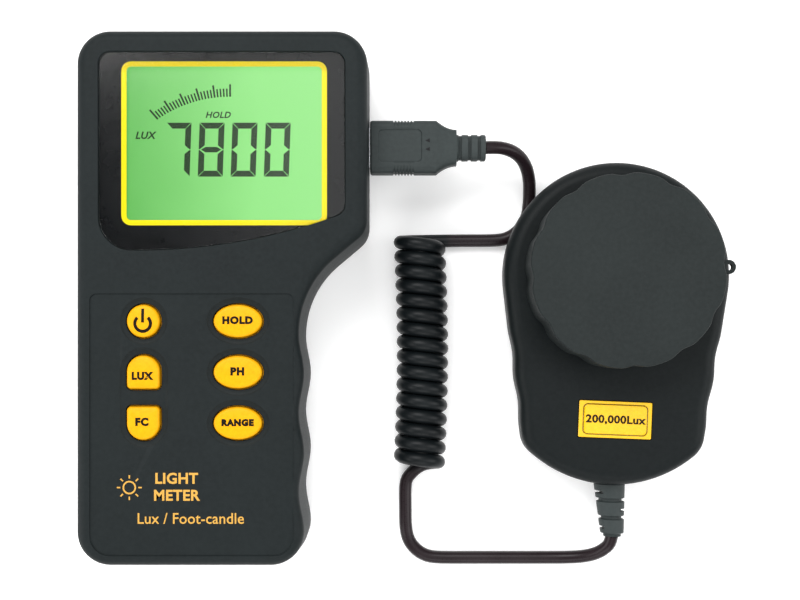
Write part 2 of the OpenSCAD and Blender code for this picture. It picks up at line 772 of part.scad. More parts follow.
module socket_tongue() {
    x0 = socket_x1 - socket_l + socket_t;
    color([0.9, 0.9, 0.88]) {
        block(x0, port_y - socket_w / 2 + socket_t, port_z - socket_h / 2 + socket_t, x0 + 1.6,
            port_y + socket_w / 2 - socket_t, port_z + socket_h / 2 - socket_t);
        block(x0 + 1.6 - eps, port_y - 5.2, port_z + 0.35, x0 + 10, port_y + 5.2,
            port_z + usb_h / 2 - usb_t - 0.2);
    }
}

module socket_contacts() {
    x0 = socket_x1 - socket_l + socket_t;
    color([0.85, 0.7, 0.3]) for (i = [-1.5:1.5])
        block(x0 + 1.6, port_y + i * contact_pitch - 0.5, port_z + 0.2, x0 + 9,
            port_y + i * contact_pitch + 0.5, port_z + 0.35);
}

// ---- Plug ----

module plug_shell() {
    inner_w = usb_w - 2 * usb_t;
    inner_h = usb_h - 2 * usb_t;
    color([0.75, 0.76, 0.78]) difference() {
        block(plug_x0 - usb_l, port_y - usb_w / 2, port_z - usb_h / 2, plug_x0, port_y + usb_w / 2,
            port_z + usb_h / 2);
        block(plug_x0 - usb_l - 1, port_y - inner_w / 2, port_z - inner_h / 2, plug_x0 + 1,
            port_y + inner_w / 2, port_z + inner_h / 2);
        for (s = [-1, 1]) block(plug_x0 - 7, port_y + s * 3 - 1.1, port_z, plug_x0 - 4.6, port_y + s * 3 + 1.1,
            port_z + usb_h);
    }
}

module plug_insert() {
    color([0.9, 0.9, 0.9]) block(plug_x0 - usb_l + 0.5, port_y - usb_w / 2 + usb_t,
        port_z - usb_h / 2 + usb_t, plug_x0, port_y + usb_w / 2 - usb_t, port_z - 0.1);
}

module plug_contacts() {
    color([0.85, 0.7, 0.3]) for (i = [-1.5:1.5])
        block(plug_x0 - usb_l + 1.5, port_y + i * contact_pitch - 0.5, port_z - 0.1,
            plug_x0 - 2, port_y + i * contact_pitch + 0.5, port_z + 0.05);
}

// Rounded box outline of the plug across its length
function plug_section(w, h, r) = outline(box_arcs(-h / 2, -w / 2, h / 2, w / 2, r, r, 4));

module plug_overmold() {
    taper_steps = 5;
    neck_x = plug_l + taper_l;
    color([0.2, 0.21, 0.22]) translate([plug_x0, port_y, port_z]) rotate([0, 90, 0]) difference() {
        union() {
            stack([[0, plug_section(plug_w - 1, plug_h - 1, 1.5)], [0.6, plug_section(plug_w, plug_h, 2)],
                [plug_l, plug_section(plug_w, plug_h, 2)],
                for (i = [1:taper_steps]) let (s = 1 - pow(1 - i / taper_steps, 2))
                    [plug_l + taper_l * i / taper_steps, plug_section(plug_w + (neck_w - plug_w) * s,
                        plug_h + (neck_h - plug_h) * s, 2)]]);
            translate([0, 0, neck_x - eps]) linear_extrude(plug_relief_l + eps)
                polygon(plug_section(plug_relief_w, neck_h - 0.4, 2.6));
        }
        for (i = [0:plug_slots - 1]) translate([0, 0, neck_x + 0.6 + 2.85 * i]) linear_extrude(1) difference() {
            square([20, 20], center = true);
            polygon(plug_section(plug_relief_w - 1.8, neck_h - 2, 2));
        }
        for (s = [-1, 1]) translate([s * plug_h / 2, 0, 9.5]) cube([0.6, 9.8, 13], center = true);
    }
}

// ---- Cord ----

module cord_upper() {
    color([0.29, 0.25, 0.27]) tube(upper_route, cord_r, cord_sides);
}

module cord_coil() {
    color([0.16, 0.17, 0.18]) translate([coil_x, coil_y1, coil_d / 2]) rotate([90, 0, 0])
        cylinder(h = coil_y1 - coil_y0, r = coil_d / 2);
}

module cord_lower() {
    color([0.29, 0.25, 0.27]) tube(lower_route, cord_r, cord_sides);
}

// ---- Sensor head ----

module in_head() {
    translate([head_pos[0], head_pos[1], 0]) rotate([0, 0, -head_turn]) children();
}

// One tapered side with its two shallow dips, from the tail up; mirrored for the other side
function head_side(inset, mirrored) = let (steps = 16, run = dip_run[1] - dip_run[0])
    [for (j = [0:steps]) let (i = mirrored ? j : steps - j, s = i / steps,
        along = dip_run[0] + run * s, dip = head_dip * (1 - cos(720 * s)) / 2,
        p = (head_r - inset - dip) * side_n + along * side_d) mirrored ? [-p[0], p[1]] : p];

function head_outline(inset = 0) = distinct(concat(
    arc_run([0, 0, head_r, -head_taper, 180 + head_taper, 1, 44], inset),
    head_side(inset, true),
    arc_run([-corner_c[0], corner_c[1], tail_corner_r, 180 + head_taper, 180 - corner_a, 1, 5], inset),
    arc_run([tail_c[0], tail_c[1], tail_arc_r, 180 - corner_a, 360 + corner_a, 1, 12], inset),
    arc_run([corner_c[0], corner_c[1], tail_corner_r, corner_a, -head_taper, 1, 5], inset),
    head_side(inset, false)));

// The label's edge, grown for the shallow pocket that it sits in
function label_outline(grow) = [for (p = outline(box_arcs(-label_w / 2, -label_l / 2, label_w / 2,
    label_l / 2, 1, 1), -grow)) [p[0] * cos(label_turn) + p[1] * sin(label_turn),
    p[1] * cos(label_turn) - p[0] * sin(label_turn) + label_y]];

module relief_cut() {
    translate([relief_x, -head_tail - 1, relief_z]) rotate([-90, 0, 0])
        cylinder(h = relief_in, r = relief_r0 - 0.5 + slip);
}

module sensor_front_shell() {
    color([0.17, 0.19, 0.2]) in_head() difference() {
        union() {
            difference() {
                stack([for (ring = concat([[head_split, 0]], edge_rings(head_h, head_edge_r, 0, 1)))
                    [ring[0], head_outline(ring[1])]]);
                slab(head_outline(head_wall), head_split - 1, head_ceiling);
            }
            for (p = head_screws) rod(p[0], p[1], head_split + stack_gap, head_ceiling + eps, head_boss_r);
        }
        rod(0, 0, head_ceiling - 1, head_h + 1, throat_r);
        slab(label_outline(fit), head_h - label_sink, head_h + 1);
        for (p = head_screws) rod(p[0], p[1], head_split - 1, head_ceiling - 1, head_pilot_r);
        relief_cut();
    }
}

module sensor_rear_shell() {
    under = head_under;
    color([0.15, 0.17, 0.18]) in_head() difference() {
        union() {
            difference() {
                rising_stack([for (ring = [[0, under + 1.2], [0.8, under + 0.3], [4.4, under],
                    [5.8, under * 0.45], [7.4, under * 0.13], [head_split, 0]])
                    [ring[0], head_outline(ring[1])]]);
                slab(head_outline(under + head_wall), head_floor, head_split + 1);
                slab(head_outline(head_wall * 2), 6.4, head_split + 1);
            }
            for (p = head_screws) rod(p[0], p[1], 1, head_split, head_boss_r);
            for (p = head_pegs) {
                rod(p[0], p[1], 1, sensor_board_z, peg_r * 2);
                rod(p[0], p[1], 1, sensor_board_z + board_t + 0.6, peg_r);
            }
        }
        for (p = head_screws) {
            rod(p[0], p[1], -1, 3, 2.1 + fit);
            rod(p[0], p[1], -1, head_split + 1, head_pilot_r + 0.2);
        }
        relief_cut();
    }
}

module sensor_screws() {
    color([0.6, 0.6, 0.62]) in_head() for (p = head_screws) difference() {
        union() {
            rod(p[0], p[1], 1.4, 3, 2.1);
            rod(p[0], p[1], 3 - eps, head_ceiling - 1.4, head_pilot_r);
        }
        for (turn = [0, 90]) translate([p[0], p[1], 1.4]) rotate([0, 0, turn])
            cube([2.4, 0.5, 1.4], center = true);
    }
}

module diffuser_ring() {
    color([0.12, 0.13, 0.14]) in_head() difference() {
        union() {
            rod(0, 0, head_h, head_h + ring_h, ring_r);
            rod(0, 0, head_ceiling, head_h + eps, throat_r - slip);
        }
        rod(0, 0, head_ceiling - 1, head_h + ring_h + 1, throat_r - 2.5);
        rod(0, 0, dome_base_z, head_h + ring_h + 1, dome_r + fit);
    }
}

module diffuser_dome() {
    color([0.95, 0.95, 0.93]) in_head() difference() {
        union() {
            rod(0, 0, dome_base_z, dome_spring_z, dome_r);
            intersection() {
                translate([0, 0, dome_spring_z + dome_rise - dome_sphere_r])
                    sphere(r = dome_sphere_r, $fn = 96);
                rod(0, 0, dome_spring_z - eps, dome_spring_z + dome_rise + 1, dome_r);
            }
        }
        intersection() {
            translate([0, 0, dome_spring_z + dome_rise - dome_sphere_r])
                sphere(r = dome_sphere_r - dome_t, $fn = 96);
            rod(0, 0, dome_base_z - 1, dome_spring_z + dome_rise, dome_r - dome_t);
        }
    }
}

module filter_holder() {
    color([0.1, 0.1, 0.1]) in_head() difference() {
        rod(0, 0, sensor_board_z + board_t, holder_top_z, holder_r);
        rod(0, 0, sensor_board_z, holder_top_z + 1, filter_r - 1);
        rod(0, 0, holder_top_z - filter_t, holder_top_z + 1, filter_r + slip);
    }
}

module filter_glass() {
    color([0.55, 0.75, 0.5, 0.6]) in_head() rod(0, 0, holder_top_z - filter_t, holder_top_z, filter_r);
}

module photodiode() {
    color([0.2, 0.18, 0.25]) in_head() translate([0, 0, sensor_board_z + board_t + 1])
        cube([8, 8, 2], center = true);
}

module sensor_board() {
    color([0.1, 0.4, 0.2]) in_head() difference() {
        slab(outline(box_arcs(-12.5, -24, 12.5, 17, 2, 2)), sensor_board_z, sensor_board_z + board_t);
        for (p = head_pegs) rod(p[0], p[1], sensor_board_z - 1, sensor_board_z + board_t + 1, peg_r + slip);
    }
}

module sensor_leads() {
    colours = [[0.75, 0.1, 0.08], [0.9, 0.9, 0.88], [0.1, 0.1, 0.1]];
    in_head() for (i = [0:2]) let (x = relief_x + 1.6 * (i - 1))
        color(colours[i]) tube([[x, -head_tail + relief_in, relief_z], [x, -46, relief_z + 0.6],
            [2.4 * (i - 1), -36, relief_z + 1.2], [2.4 * (i - 1), -28, sensor_board_z + board_t / 2],
            [2.4 * (i - 1), -24, sensor_board_z + board_t / 2]], lead_r, 8);
}

module range_label() {
    color([0.9, 0.7, 0.08]) in_head()
        slab(label_outline(0), head_h - label_sink, head_h - label_sink + label_t);
}

module cord_relief() {
    seg = relief_l / relief_steps;
    out = relief_in + relief_gap;
    function outer_r(y) = relief_r0 + (relief_r1 - relief_r0) * y / relief_l;
    color([0.14, 0.15, 0.16]) in_head() translate([relief_x, -head_tail + relief_in, relief_z])
        rotate([90, 0, 0]) rotate_extrude() polygon(concat(
            [[0, 0], [relief_collar_r, 0], [relief_collar_r, 1.6], [relief_r0 - 0.5, 1.6],
                [relief_r0 - 0.5, out]],
            [for (i = [0:relief_steps - 1]) let (y = seg * i, cut = y + seg - relief_groove) each [
                [outer_r(y), out + y], [outer_r(cut), out + cut],
                [outer_r(cut) - 0.9, out + cut], [outer_r(cut) - 0.9, out + y + seg]]],
            [[0, out + relief_l]]));
}

// ---- Cap ----

function cap_outline(inset = 0) = [for (i = [0:scallops * 8 - 1])
    let (a = 360 * i / (scallops * 8) + cap_turn, notch = pow((1 + cos(scallops * (a - cap_turn))) / 2, 3),
        r = cap_r - inset - scallop_depth * notch)
    [r * cos(a), r * sin(a)]];

module sensor_cap() {
    color([0.24, 0.26, 0.26]) in_head() difference() {
        union() {
            stack([for (ring = concat([[cap_z + slip, 0.3], [cap_z + 0.5, 0]],
                edge_rings(cap_top_z, 1.2, 0, 1)))
                [ring[0], cap_outline(ring[1])]]);
            rotate([0, 0, ear_a]) {
                block(cap_r - 1, -1.6, ear_z, ear_out, 1.6, ear_z + ear_t);
                rod(ear_out, 0, ear_z, ear_z + ear_t, ear_r);
            }
        }
        rod(0, 0, cap_z - 1, cap_top_z - cap_top_t, cap_bore_r);
        rotate([0, 0, ear_a]) rod(ear_out, 0, ear_z - 1, ear_z + ear_t + 1, ear_hole_r);
    }
}

front_shell();
rear_shell();
battery_door();
case_screws();
power_button();
lux_button();
fc_button();
hold_button();
peak_button();
range_button();
key_mat();
display_window();
display_mask();
view_frame();
lcd_panel();
backlight_panel();
zebra_strips();
main_board();
main_chip();
board_parts();
board_screws();
usb_socket();
socket_tongue();
socket_contacts();
battery();
battery_terminals();
battery_snap();
battery_leads();
battery_pad();
plug_overmold();
plug_shell();
plug_insert();
plug_contacts();
cord_upper();
cord_coil();
cord_lower();
cord_relief();
sensor_front_shell();
sensor_rear_shell();
diffuser_dome();
diffuser_ring();
filter_glass();
filter_holder();
photodiode();
sensor_board();
sensor_leads();
sensor_screws();
range_label();
sensor_cap();
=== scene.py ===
"""Handheld light meter with a capped sensor head on a curly cord: its looks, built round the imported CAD.
Shapes are worked out in millimetres and written to meshes in metres."""
import json
import math

import bmesh
import bpy
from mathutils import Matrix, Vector
from mathutils.bvhtree import BVHTree


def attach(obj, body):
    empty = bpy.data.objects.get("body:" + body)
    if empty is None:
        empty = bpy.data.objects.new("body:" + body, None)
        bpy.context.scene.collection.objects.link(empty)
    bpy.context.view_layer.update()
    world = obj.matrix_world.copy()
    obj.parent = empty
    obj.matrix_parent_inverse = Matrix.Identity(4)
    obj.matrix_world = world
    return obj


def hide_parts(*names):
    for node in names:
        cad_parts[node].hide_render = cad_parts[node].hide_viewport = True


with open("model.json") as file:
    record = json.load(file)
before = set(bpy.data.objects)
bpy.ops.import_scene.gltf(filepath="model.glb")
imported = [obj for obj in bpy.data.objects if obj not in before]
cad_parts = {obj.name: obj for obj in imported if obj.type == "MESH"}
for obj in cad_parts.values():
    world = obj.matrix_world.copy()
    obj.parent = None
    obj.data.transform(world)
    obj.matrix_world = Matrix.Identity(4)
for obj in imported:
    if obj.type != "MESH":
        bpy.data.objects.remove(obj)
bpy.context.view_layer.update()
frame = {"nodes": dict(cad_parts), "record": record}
nodes = frame["nodes"]
MM = 0.001
scene = bpy.context.scene

# --- camera
cam_data = bpy.data.cameras.new("camera")
cam_data.lens, cam_data.sensor_width, cam_data.shift_y = 57.0, 36.0, 0.075
cam_data.clip_start = 0.01
camera = bpy.data.objects.new("camera", cam_data)
camera.location = (51.7 * MM, -18.0 * MM, 400 * MM)
scene.collection.objects.link(camera)
scene.camera = camera

# --- the object's sizes, as in the CAD
SIDE_X, TOP_Y, GRIP_X = 42.5, 78.0, 24.1
DRAFT, EDGE_R, CORNER_R, DIP = 0.3, 3.2, 10.0, 1.5
FACE_Z, CEILING_Z, SPLIT_Z, WALL = 34.0, 31.4, 17.0, 2.4
LOW_Y, DIP_Y = -68.0, -10.4
DIP_PITCH = (DIP_Y - LOW_Y) / 2.5
SWEEP, SWEEP_R = (50.6, -10.4), 28.0
SHOULDER, SHOULDER_R = (34.7, 23.0), 7.8
_run = (SHOULDER[0] - SWEEP[0], SHOULDER[1] - SWEEP[1])
LEAN = math.degrees(math.atan2(_run[1], _run[0])) - math.degrees(
    math.acos(-(SWEEP_R + SHOULDER_R) / math.hypot(*_run)))
LENS = (-35.4, 13.9, 35.7, 71.0)
BOW, BOW_R, LENS_LOW_R, LENS_R = (-24.0, 183.9), 170.0, 9.5, 3.3
VIEW = (-29.2, 21.1, 30.5, 68.7)
PANEL = (-38.0, -74.6, 20.9, 1.1)
KEYS_X, KEYS_Y, KEY_PITCH, KEY_COLS = -8.8, -6.75, 14.75, 27.3
KEY_R, KEY_A, KEY_L, ARCH_R, KEY_CORNER_R = 4.9, 7.15, 10.0, 4.85, 1.4
PORT_Y, PORT_Z = 46, 17
HEAD, HEAD_TURN = (117.4, 7.7), math.radians(-1.3)
HEAD_R, HEAD_TAIL, HEAD_TAPER, HEAD_H, HEAD_SPLIT = 34.2, 63.6, 7.9, 19.0, 9.0
CAP_R, CAP_TOP, CAP_DIPS, EAR_X, EAR_TURN = 28.3, 37.0, 12, 32.7, 5
LABEL_W, LABEL_H, LABEL_Y, LABEL_TURN = 21.9, 11.0, -43.7, 1
SLEEVE_X, SLEEVE_Z, SLEEVE_L, SLEEVE_RIBS = 0.9, 8.0, 16.3, 3


def cosd(a):
    return math.cos(math.radians(a))


def sind(a):
    return math.sin(math.radians(a))


# --- outlines
def arc(cx, cy, r, a0, a1, side, inset, steps):
    rr = r - side * inset
    return [(cx + rr * cosd(a0 + (a1 - a0) * i / steps), cy + rr * sind(a0 + (a1 - a0) * i / steps))
            for i in range(steps + 1)]


def distinct(pts):
    return [p for i, p in enumerate(pts) if math.dist(p, pts[(i + 1) % len(pts)]) > 0.004]


def case_outline(inset=0.0):
    span = DIP_Y - LOW_Y
    grip = [(GRIP_X - inset - DIP * (1 + cosd(360 * (LOW_Y + span * i / 80 - DIP_Y) / DIP_PITCH)) / 2,
             LOW_Y + span * i / 80) for i in range(1, 80)]
    return distinct(
        arc(CORNER_R - SIDE_X, LOW_Y, CORNER_R, 180, 270, 1, inset, 18)
        + arc(GRIP_X - CORNER_R, LOW_Y, CORNER_R, 270, 360, 1, inset, 18) + grip
        + arc(*SWEEP, SWEEP_R, 180, 180 + LEAN, -1, inset, 24)
        + arc(*SHOULDER, SHOULDER_R, LEAN, 0, 1, inset, 14)
        + arc(SIDE_X - CORNER_R, TOP_Y - CORNER_R, CORNER_R, 0, 90, 1, inset, 18)
        + arc(CORNER_R - SIDE_X, TOP_Y - CORNER_R, CORNER_R, 90, 180, 1, inset, 18))


def box_outline(x0, y0, x1, y1, low_r, high_r, grow=0.0, steps=12):
    return distinct(
        arc(x0 + low_r, y0 + low_r, low_r, 180, 270, 1, -grow, steps)
        + arc(x1 - low_r, y0 + low_r, low_r, 270, 360, 1, -grow, steps)
        + arc(x1 - high_r, y1 - high_r, high_r, 0, 90, 1, -grow, steps)
        + arc(x0 + high_r, y1 - high_r, high_r, 90, 180, 1, -grow, steps))


def lens_outline(grow=0.0):
    x0, _, x1, y1 = LENS
    low = 270 - math.degrees(math.asin((BOW[0] - x0 - LENS_LOW_R) / (BOW_R - LENS_LOW_R)))
    high = 270 + math.degrees(math.asin((x1 - LENS_R - BOW[0]) / (BOW_R - LENS_R)))
    return distinct(
        arc(x0 + LENS_LOW_R, BOW[1] + (BOW_R - LENS_LOW_R) * sind(low), LENS_LOW_R, 180, low, 1, -grow, 14)
        + arc(*BOW, BOW_R, low, high, 1, -grow, 40)
        + arc(x1 - LENS_R, BOW[1] + (BOW_R - LENS_R) * sind(high), LENS_R, high, 360, 1, -grow, 10)
        + arc(x1 - LENS_R, y1 - LENS_R, LENS_R, 0, 90, 1, -grow, 12)
        + arc(x0 + LENS_R, y1 - LENS_R, LENS_R, 90, 180, 1, -grow, 12))


def view_outline(inset=0.0):
    return box_outline(*VIEW, 2.8, 2.8, -inset)


KEYS = {"power": ("round", -1, 0), "lux": ("arch", -1, 1), "fc": ("bowl", -1, 2),
        "hold": ("oval", 1, 0), "peak": ("oval", 1, 1), "range": ("oval", 1, 2)}


def key_pos(key):
    return KEYS_X + KEYS[key][1] * KEY_COLS / 2, KEYS_Y - KEYS[key][2] * KEY_PITCH


def key_outline(shape, grow=0.0):
    """Outline of a key about its own centre."""
    if shape == "round":
        return [((KEY_R + grow) * cosd(a), (KEY_R + grow) * sind(a)) for a in range(0, 360, 5)]
    if shape == "oval":
        return [((KEY_A + grow) * cosd(a), (KEY_R + grow) * sind(a)) for a in range(0, 360, 4)]
    low, high = (KEY_CORNER_R, ARCH_R) if shape == "arch" else (ARCH_R, KEY_CORNER_R)
    return box_outline(-KEY_R, -KEY_L / 2, KEY_R, KEY_L / 2, low, high, grow, 16)


def at(pts, cx, cy):
    return [(x + cx, y + cy) for x, y in pts]


def head_outline(inset=0.0):
    """The head's outline: a round front, two tapered sides with finger dips and a bowed tail."""
    dip_depth, dip_from, dip_run = 0.6, 12, 30
    side_n = (cosd(HEAD_TAPER), -sind(HEAD_TAPER))
    side_d = (-sind(HEAD_TAPER), -cosd(HEAD_TAPER))
    tail_c, tail_r, corner_r = (0.0, 38.0 - HEAD_TAIL), 38.0, 9.0
    fx, fy = (HEAD_R - corner_r) * side_n[0] - tail_c[0], (HEAD_R - corner_r) * side_n[1] - tail_c[1]
    along = fx * side_d[0] + fy * side_d[1]
    s = -along + math.sqrt(along * along - fx * fx - fy * fy + (tail_r - corner_r) ** 2)
    cx = (HEAD_R - corner_r) * side_n[0] + s * side_d[0]
    cy = (HEAD_R - corner_r) * side_n[1] + s * side_d[1]
    ca = math.degrees(math.atan2(cy - tail_c[1], cx - tail_c[0]))

    def side(mirrored):
        out = []
        for j in range(33):
            t = j / 32 if mirrored else 1 - j / 32
            dip = dip_depth * (1 - cosd(720 * t)) / 2
            r, d = HEAD_R - inset - dip, dip_from + dip_run * t
            p = (r * side_n[0] + d * side_d[0], r * side_n[1] + d * side_d[1])
            out.append((-p[0], p[1]) if mirrored else p)
        return out

    return distinct(
        arc(0, 0, HEAD_R, -HEAD_TAPER, 180 + HEAD_TAPER, 1, inset, 88) + side(True)
        + arc(-cx, cy, corner_r, 180 + HEAD_TAPER, 180 - ca, 1, inset, 12)
        + arc(*tail_c, tail_r, 180 - ca, 360 + ca, 1, inset, 24)
        + arc(cx, cy, corner_r, ca, -HEAD_TAPER, 1, inset, 12) + side(False))


def cap_outline(inset):
    """A circle with a narrow finger dip in line with the ear and at every twelfth from it."""
    out, depth = [], 0.85
    for a in range(360):
        r = CAP_R - inset - depth * ((1 + cosd(CAP_DIPS * (a - EAR_TURN))) / 2) ** 3
        out.append((r * cosd(a), r * sind(a)))
    return out


def edge_rings(z, r, start, steps=9):
    """Heights and insets of a rounded edge of radius r that ends at height z."""
    return [(z + r * (sind(90 * i / steps) - 1), start + r * (1 - cosd(90 * i / steps)))
            for i in range(steps + 1)]


# --- mesh helpers
def loft(bm, rings):
    """A closed skin through rings, each a list of points (x, y, z) in mm, all of one length."""
    rows = [[bm.verts.new(Vector(p) * MM) for p in ring] for ring in rings]
    n = len(rows[0])
    bm.faces.new(list(reversed(rows[0])))
    bm.faces.new(rows[-1])
    for a, b in zip(rows, rows[1:]):
        for i in range(n):
            bm.faces.new((a[i], a[(i + 1) % n], b[(i + 1) % n], b[i]))


def layered(sections):
    """Rings for loft from (z, points) pairs."""
    return [[(x, y, z) for x, y in pts] for z, pts in sections]


def new_object(name, bm, sharp=35.0, weighted=True):
    bmesh.ops.recalc_face_normals(bm, faces=bm.faces)
    mesh = bpy.data.meshes.new(name)
    bm.to_mesh(mesh)
    bm.free()
    obj = bpy.data.objects.new(name, mesh)
    scene.collection.objects.link(obj)
    smooth(obj, sharp, weighted)
    return obj


def smooth(obj, sharp=35.0, weighted=True):
    mesh = obj.data
    mesh.polygons.foreach_set("use_smooth", [True] * len(mesh.polygons))
    mesh.set_sharp_from_angle(angle=math.radians(sharp))
    if weighted:
        mod = obj.modifiers.new("weighted", "WEIGHTED_NORMAL")
        mod.keep_sharp, mod.weight = True, 80
    mesh.update()


def solid(name, sections, sharp=35.0):
    bm = bmesh.new()
    loft(bm, layered(sections))
    return new_object(name, bm, sharp)


def prism(bm, pts, z0, z1):
    loft(bm, layered([(z0, pts), (z1, pts)]))


def box_pts(x0, y0, x1, y1):
    return [(x0, y0), (x1, y0), (x1, y1), (x0, y1)]


def disc(cx, cy, r, n=40):
    return [(cx + r * cosd(360 * i / n), cy + r * sind(360 * i / n)) for i in range(n)]


def bake(obj):
    """Its modifiers applied, as a plain mesh."""
    deps = bpy.context.evaluated_depsgraph_get()
    deps.update()
    mesh = bpy.data.meshes.new_from_object(obj.evaluated_get(deps), depsgraph=deps)
    old = obj.data
    obj.modifiers.clear()
    obj.data = mesh
    bpy.data.meshes.remove(old)


def combine(obj, tools, operation):
    """Boolean of obj with each tool, a bmesh; the tools are used up."""
    for bm in tools:
        cutter = new_object("tool", bm, weighted=False)
        mod = obj.modifiers.new("boolean", "BOOLEAN")
        mod.operation, mod.solver, mod.object, mod.use_self = operation, "EXACT", cutter, False
        bake(obj)
        mesh = cutter.data
        bpy.data.objects.remove(cutter)
        bpy.data.meshes.remove(mesh)


def tool(*sections_lists):
    """One bmesh holding several separate stacked solids."""
    bm = bmesh.new()
    for sections in sections_lists:
        loft(bm, layered(sections))
    return bm


def in_head(obj):
    """Turns a piece made about the sensor head's own centre into the head's place."""
    c, s = math.cos(HEAD_TURN), math.sin(HEAD_TURN)
    for v in obj.data.vertices:
        x, y = v.co.x, v.co.y
        v.co.x, v.co.y = HEAD[0] * MM + x * c - y * s, HEAD[1] * MM + x * s + y * c
    return obj


def softened(node, name, width):
    """A copy of a CAD node's mesh with its hard edges rounded by width mm."""
    bm = bmesh.new()
    bm.from_mesh(nodes[node].data)
    bmesh.ops.remove_doubles(bm, verts=bm.verts, dist=2e-6)
    bmesh.ops.dissolve_limit(bm, angle_limit=math.radians(0.6), verts=bm.verts, edges=bm.edges)
    obj = new_object(name, bm, weighted=False)
    mod = obj.modifiers.new("bevel", "BEVEL")
    mod.width, mod.segments = width * MM, 2
    mod.limit_method, mod.angle_limit = "ANGLE", math.radians(32.0)
    mod.use_clamp_overlap, mod.harden_normals = True, False
    bake(obj)
    smooth(obj)
    return obj


def stand_for(obj, body, slot_name, *replaced):
    """Puts the piece on its body and in place of the CAD nodes that it replaces; slot_name is not used."""
    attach(obj, body)
    if replaced:
        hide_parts(*replaced)
    return obj


# --- materials
def linear(rgb):
    """Linear colour from screen values of 0 to 255."""
    return [((c / 255) / 12.92 if c / 255 <= 0.04045 else ((c / 255 + 0.055) / 1.055) ** 2.4) for c in rgb]


class Nodes:
    """A short way to wire one material's nodes."""

    def __init__(self, name):
        self.mat = bpy.data.materials.new(name)
        self.mat.use_nodes = True
        self.tree = self.mat.node_tree
        self.tree.nodes.clear()
        self.out = self.tree.nodes.new("ShaderNodeOutputMaterial")

    def add(self, kind, **values):
        node = self.tree.nodes.new(kind)
        for key, value in values.items():
            if key in node.inputs:
                self.set(node.inputs[key], value)
            else:
                setattr(node, key, value)
        return node

    def set(self, socket, value):
        if isinstance(value, bpy.types.NodeSocket):
            self.tree.links.new(value, socket)
        elif socket.type == "RGBA" and len(value) == 3:
            socket.default_value = (*value, 1.0)
        else:
            socket.default_value = value

    def math(self, op, a, b):
        node = self.add("ShaderNodeMath", operation=op)
        self.set(node.inputs[0], a)
        self.set(node.inputs[1], b)
        return node.outputs[0]

    def place(self):
        return self.add("ShaderNodeTexCoord").outputs["Object"]

    def noise(self, size_mm, detail=3.0, rough=0.5, vector=None):
        """Noise whose blobs are about size_mm across, from 0 to 1."""
        return self.add("ShaderNodeTexNoise", Vector=vector or self.place(), Scale=1000.0 / size_mm,
                        Detail=detail, Roughness=rough).outputs[0]

    def spread(self, value, low, high, from_low=0.3, from_high=0.7):
        node = self.add("ShaderNodeMapRange")
        node.inputs["From Min"].default_value, node.inputs["From Max"].default_value = from_low, from_high
        node.inputs["To Min"].default_value, node.inputs["To Max"].default_value = low, high
        self.set(node.inputs["Value"], value)
        return node.outputs["Result"]

    def mix(self, factor, a, b):
        node = self.add("ShaderNodeMix", data_type="RGBA")
        self.set(node.inputs["Factor"], factor)
        self.set(node.inputs[6], a)
        self.set(node.inputs[7], b)
        return node.outputs[2]

    def bump(self, height, distance_mm):
        return self.add("ShaderNodeBump", Height=height, Distance=distance_mm * MM,
                        Strength=1.0).outputs["Normal"]

    def finish(self, shader):
        self.set(self.out.inputs["Surface"], shader)
        return self.mat


def moulded(name, colour, rough, grain_mm=0.35, bump_mm=0.012, shade=0.10, patch_mm=22.0, edge_wear_and_highlight=0.05, **extra):
    """Moulded plastic or rubber: spark-eroded grain, slow colour drift, and edges lightened slightly pale,
    partly as rubbed wear and partly as a painted rim highlight.
    """
    n = Nodes(name)
    base = linear(colour)
    grain = n.noise(grain_mm, 2.0, 0.55)
    drift = n.noise(patch_mm, 2.0)
    fine = n.noise(grain_mm * 3.5, 2.0)
    tone = n.mix(n.spread(drift, 0, 1), [c * (1 - shade) for c in base], [c * (1 + shade) for c in base])
    tone = n.mix(n.spread(fine, 0.0, 0.35), tone, [min(1, c * 1.35 + 0.004) for c in base])
    # edges lightened by pointiness: partly rubbed wear, partly a painted rim highlight
    wear_and_rim_highlight_mask = n.add("ShaderNodeNewGeometry").outputs["Pointiness"]
    tone = n.mix(n.spread(wear_and_rim_highlight_mask, 0.0, edge_wear_and_highlight, 0.53, 0.62), tone, [min(1, c * 2.2 + 0.05) for c in base])
    shader = n.add("ShaderNodeBsdfPrincipled")
    shader.inputs["Specular IOR Level"].default_value = 0.15
    n.set(shader.inputs["Base Color"], tone)
    n.set(shader.inputs["Roughness"], n.spread(grain, rough - 0.05, rough + 0.06))
    n.set(shader.inputs["Normal"], n.bump(grain, bump_mm))
    for key, value in extra.items():
        shader.inputs[key.replace("_", " ")].default_value = value
    return n.finish(shader.outputs[0])


def metal(name, colour, rough=0.3, brushed=False):
    n = Nodes(name)
    base = linear(colour)
    place = n.place()
    if brushed:
        place = n.add("ShaderNodeMapping", Vector=place, Scale=(0.08, 1.0, 1.0)).outputs[0]
    scratch = n.noise(0.25, 4.0, 0.6, place)
    stain = n.noise(4.0, 2.0)
    shader = n.add("ShaderNodeBsdfPrincipled", Metallic=1.0)
    n.set(shader.inputs["Base Color"], n.mix(n.spread(stain, 0, 1), [c * 0.85 for c in base], base))
    n.set(shader.inputs["Roughness"], n.spread(scratch, rough - 0.08, rough + 0.1))
    n.set(shader.inputs["Normal"], n.bump(scratch, 0.003))
    return n.finish(shader.outputs[0])


def circuit(name):
    """Green solder resist with copper tracks showing through as darker and lighter lines."""
    n = Nodes(name)
    bricks = n.add("ShaderNodeTexBrick", Vector=n.place(), Scale=380.0)
    for key, value in (("Color1", (14, 74, 38)), ("Color2", (22, 96, 50)), ("Mortar", (60, 140, 78))):
        n.set(bricks.inputs[key], linear(value))
    bricks.inputs["Mortar Size"].default_value = 0.035
    shader = n.add("ShaderNodeBsdfPrincipled", Roughness=0.35)
    n.set(shader.inputs["Base Color"], bricks.outputs["Color"])
    n.set(shader.inputs["Normal"], n.bump(bricks.outputs["Fac"], 0.02))
    return n.finish(shader.outputs[0])


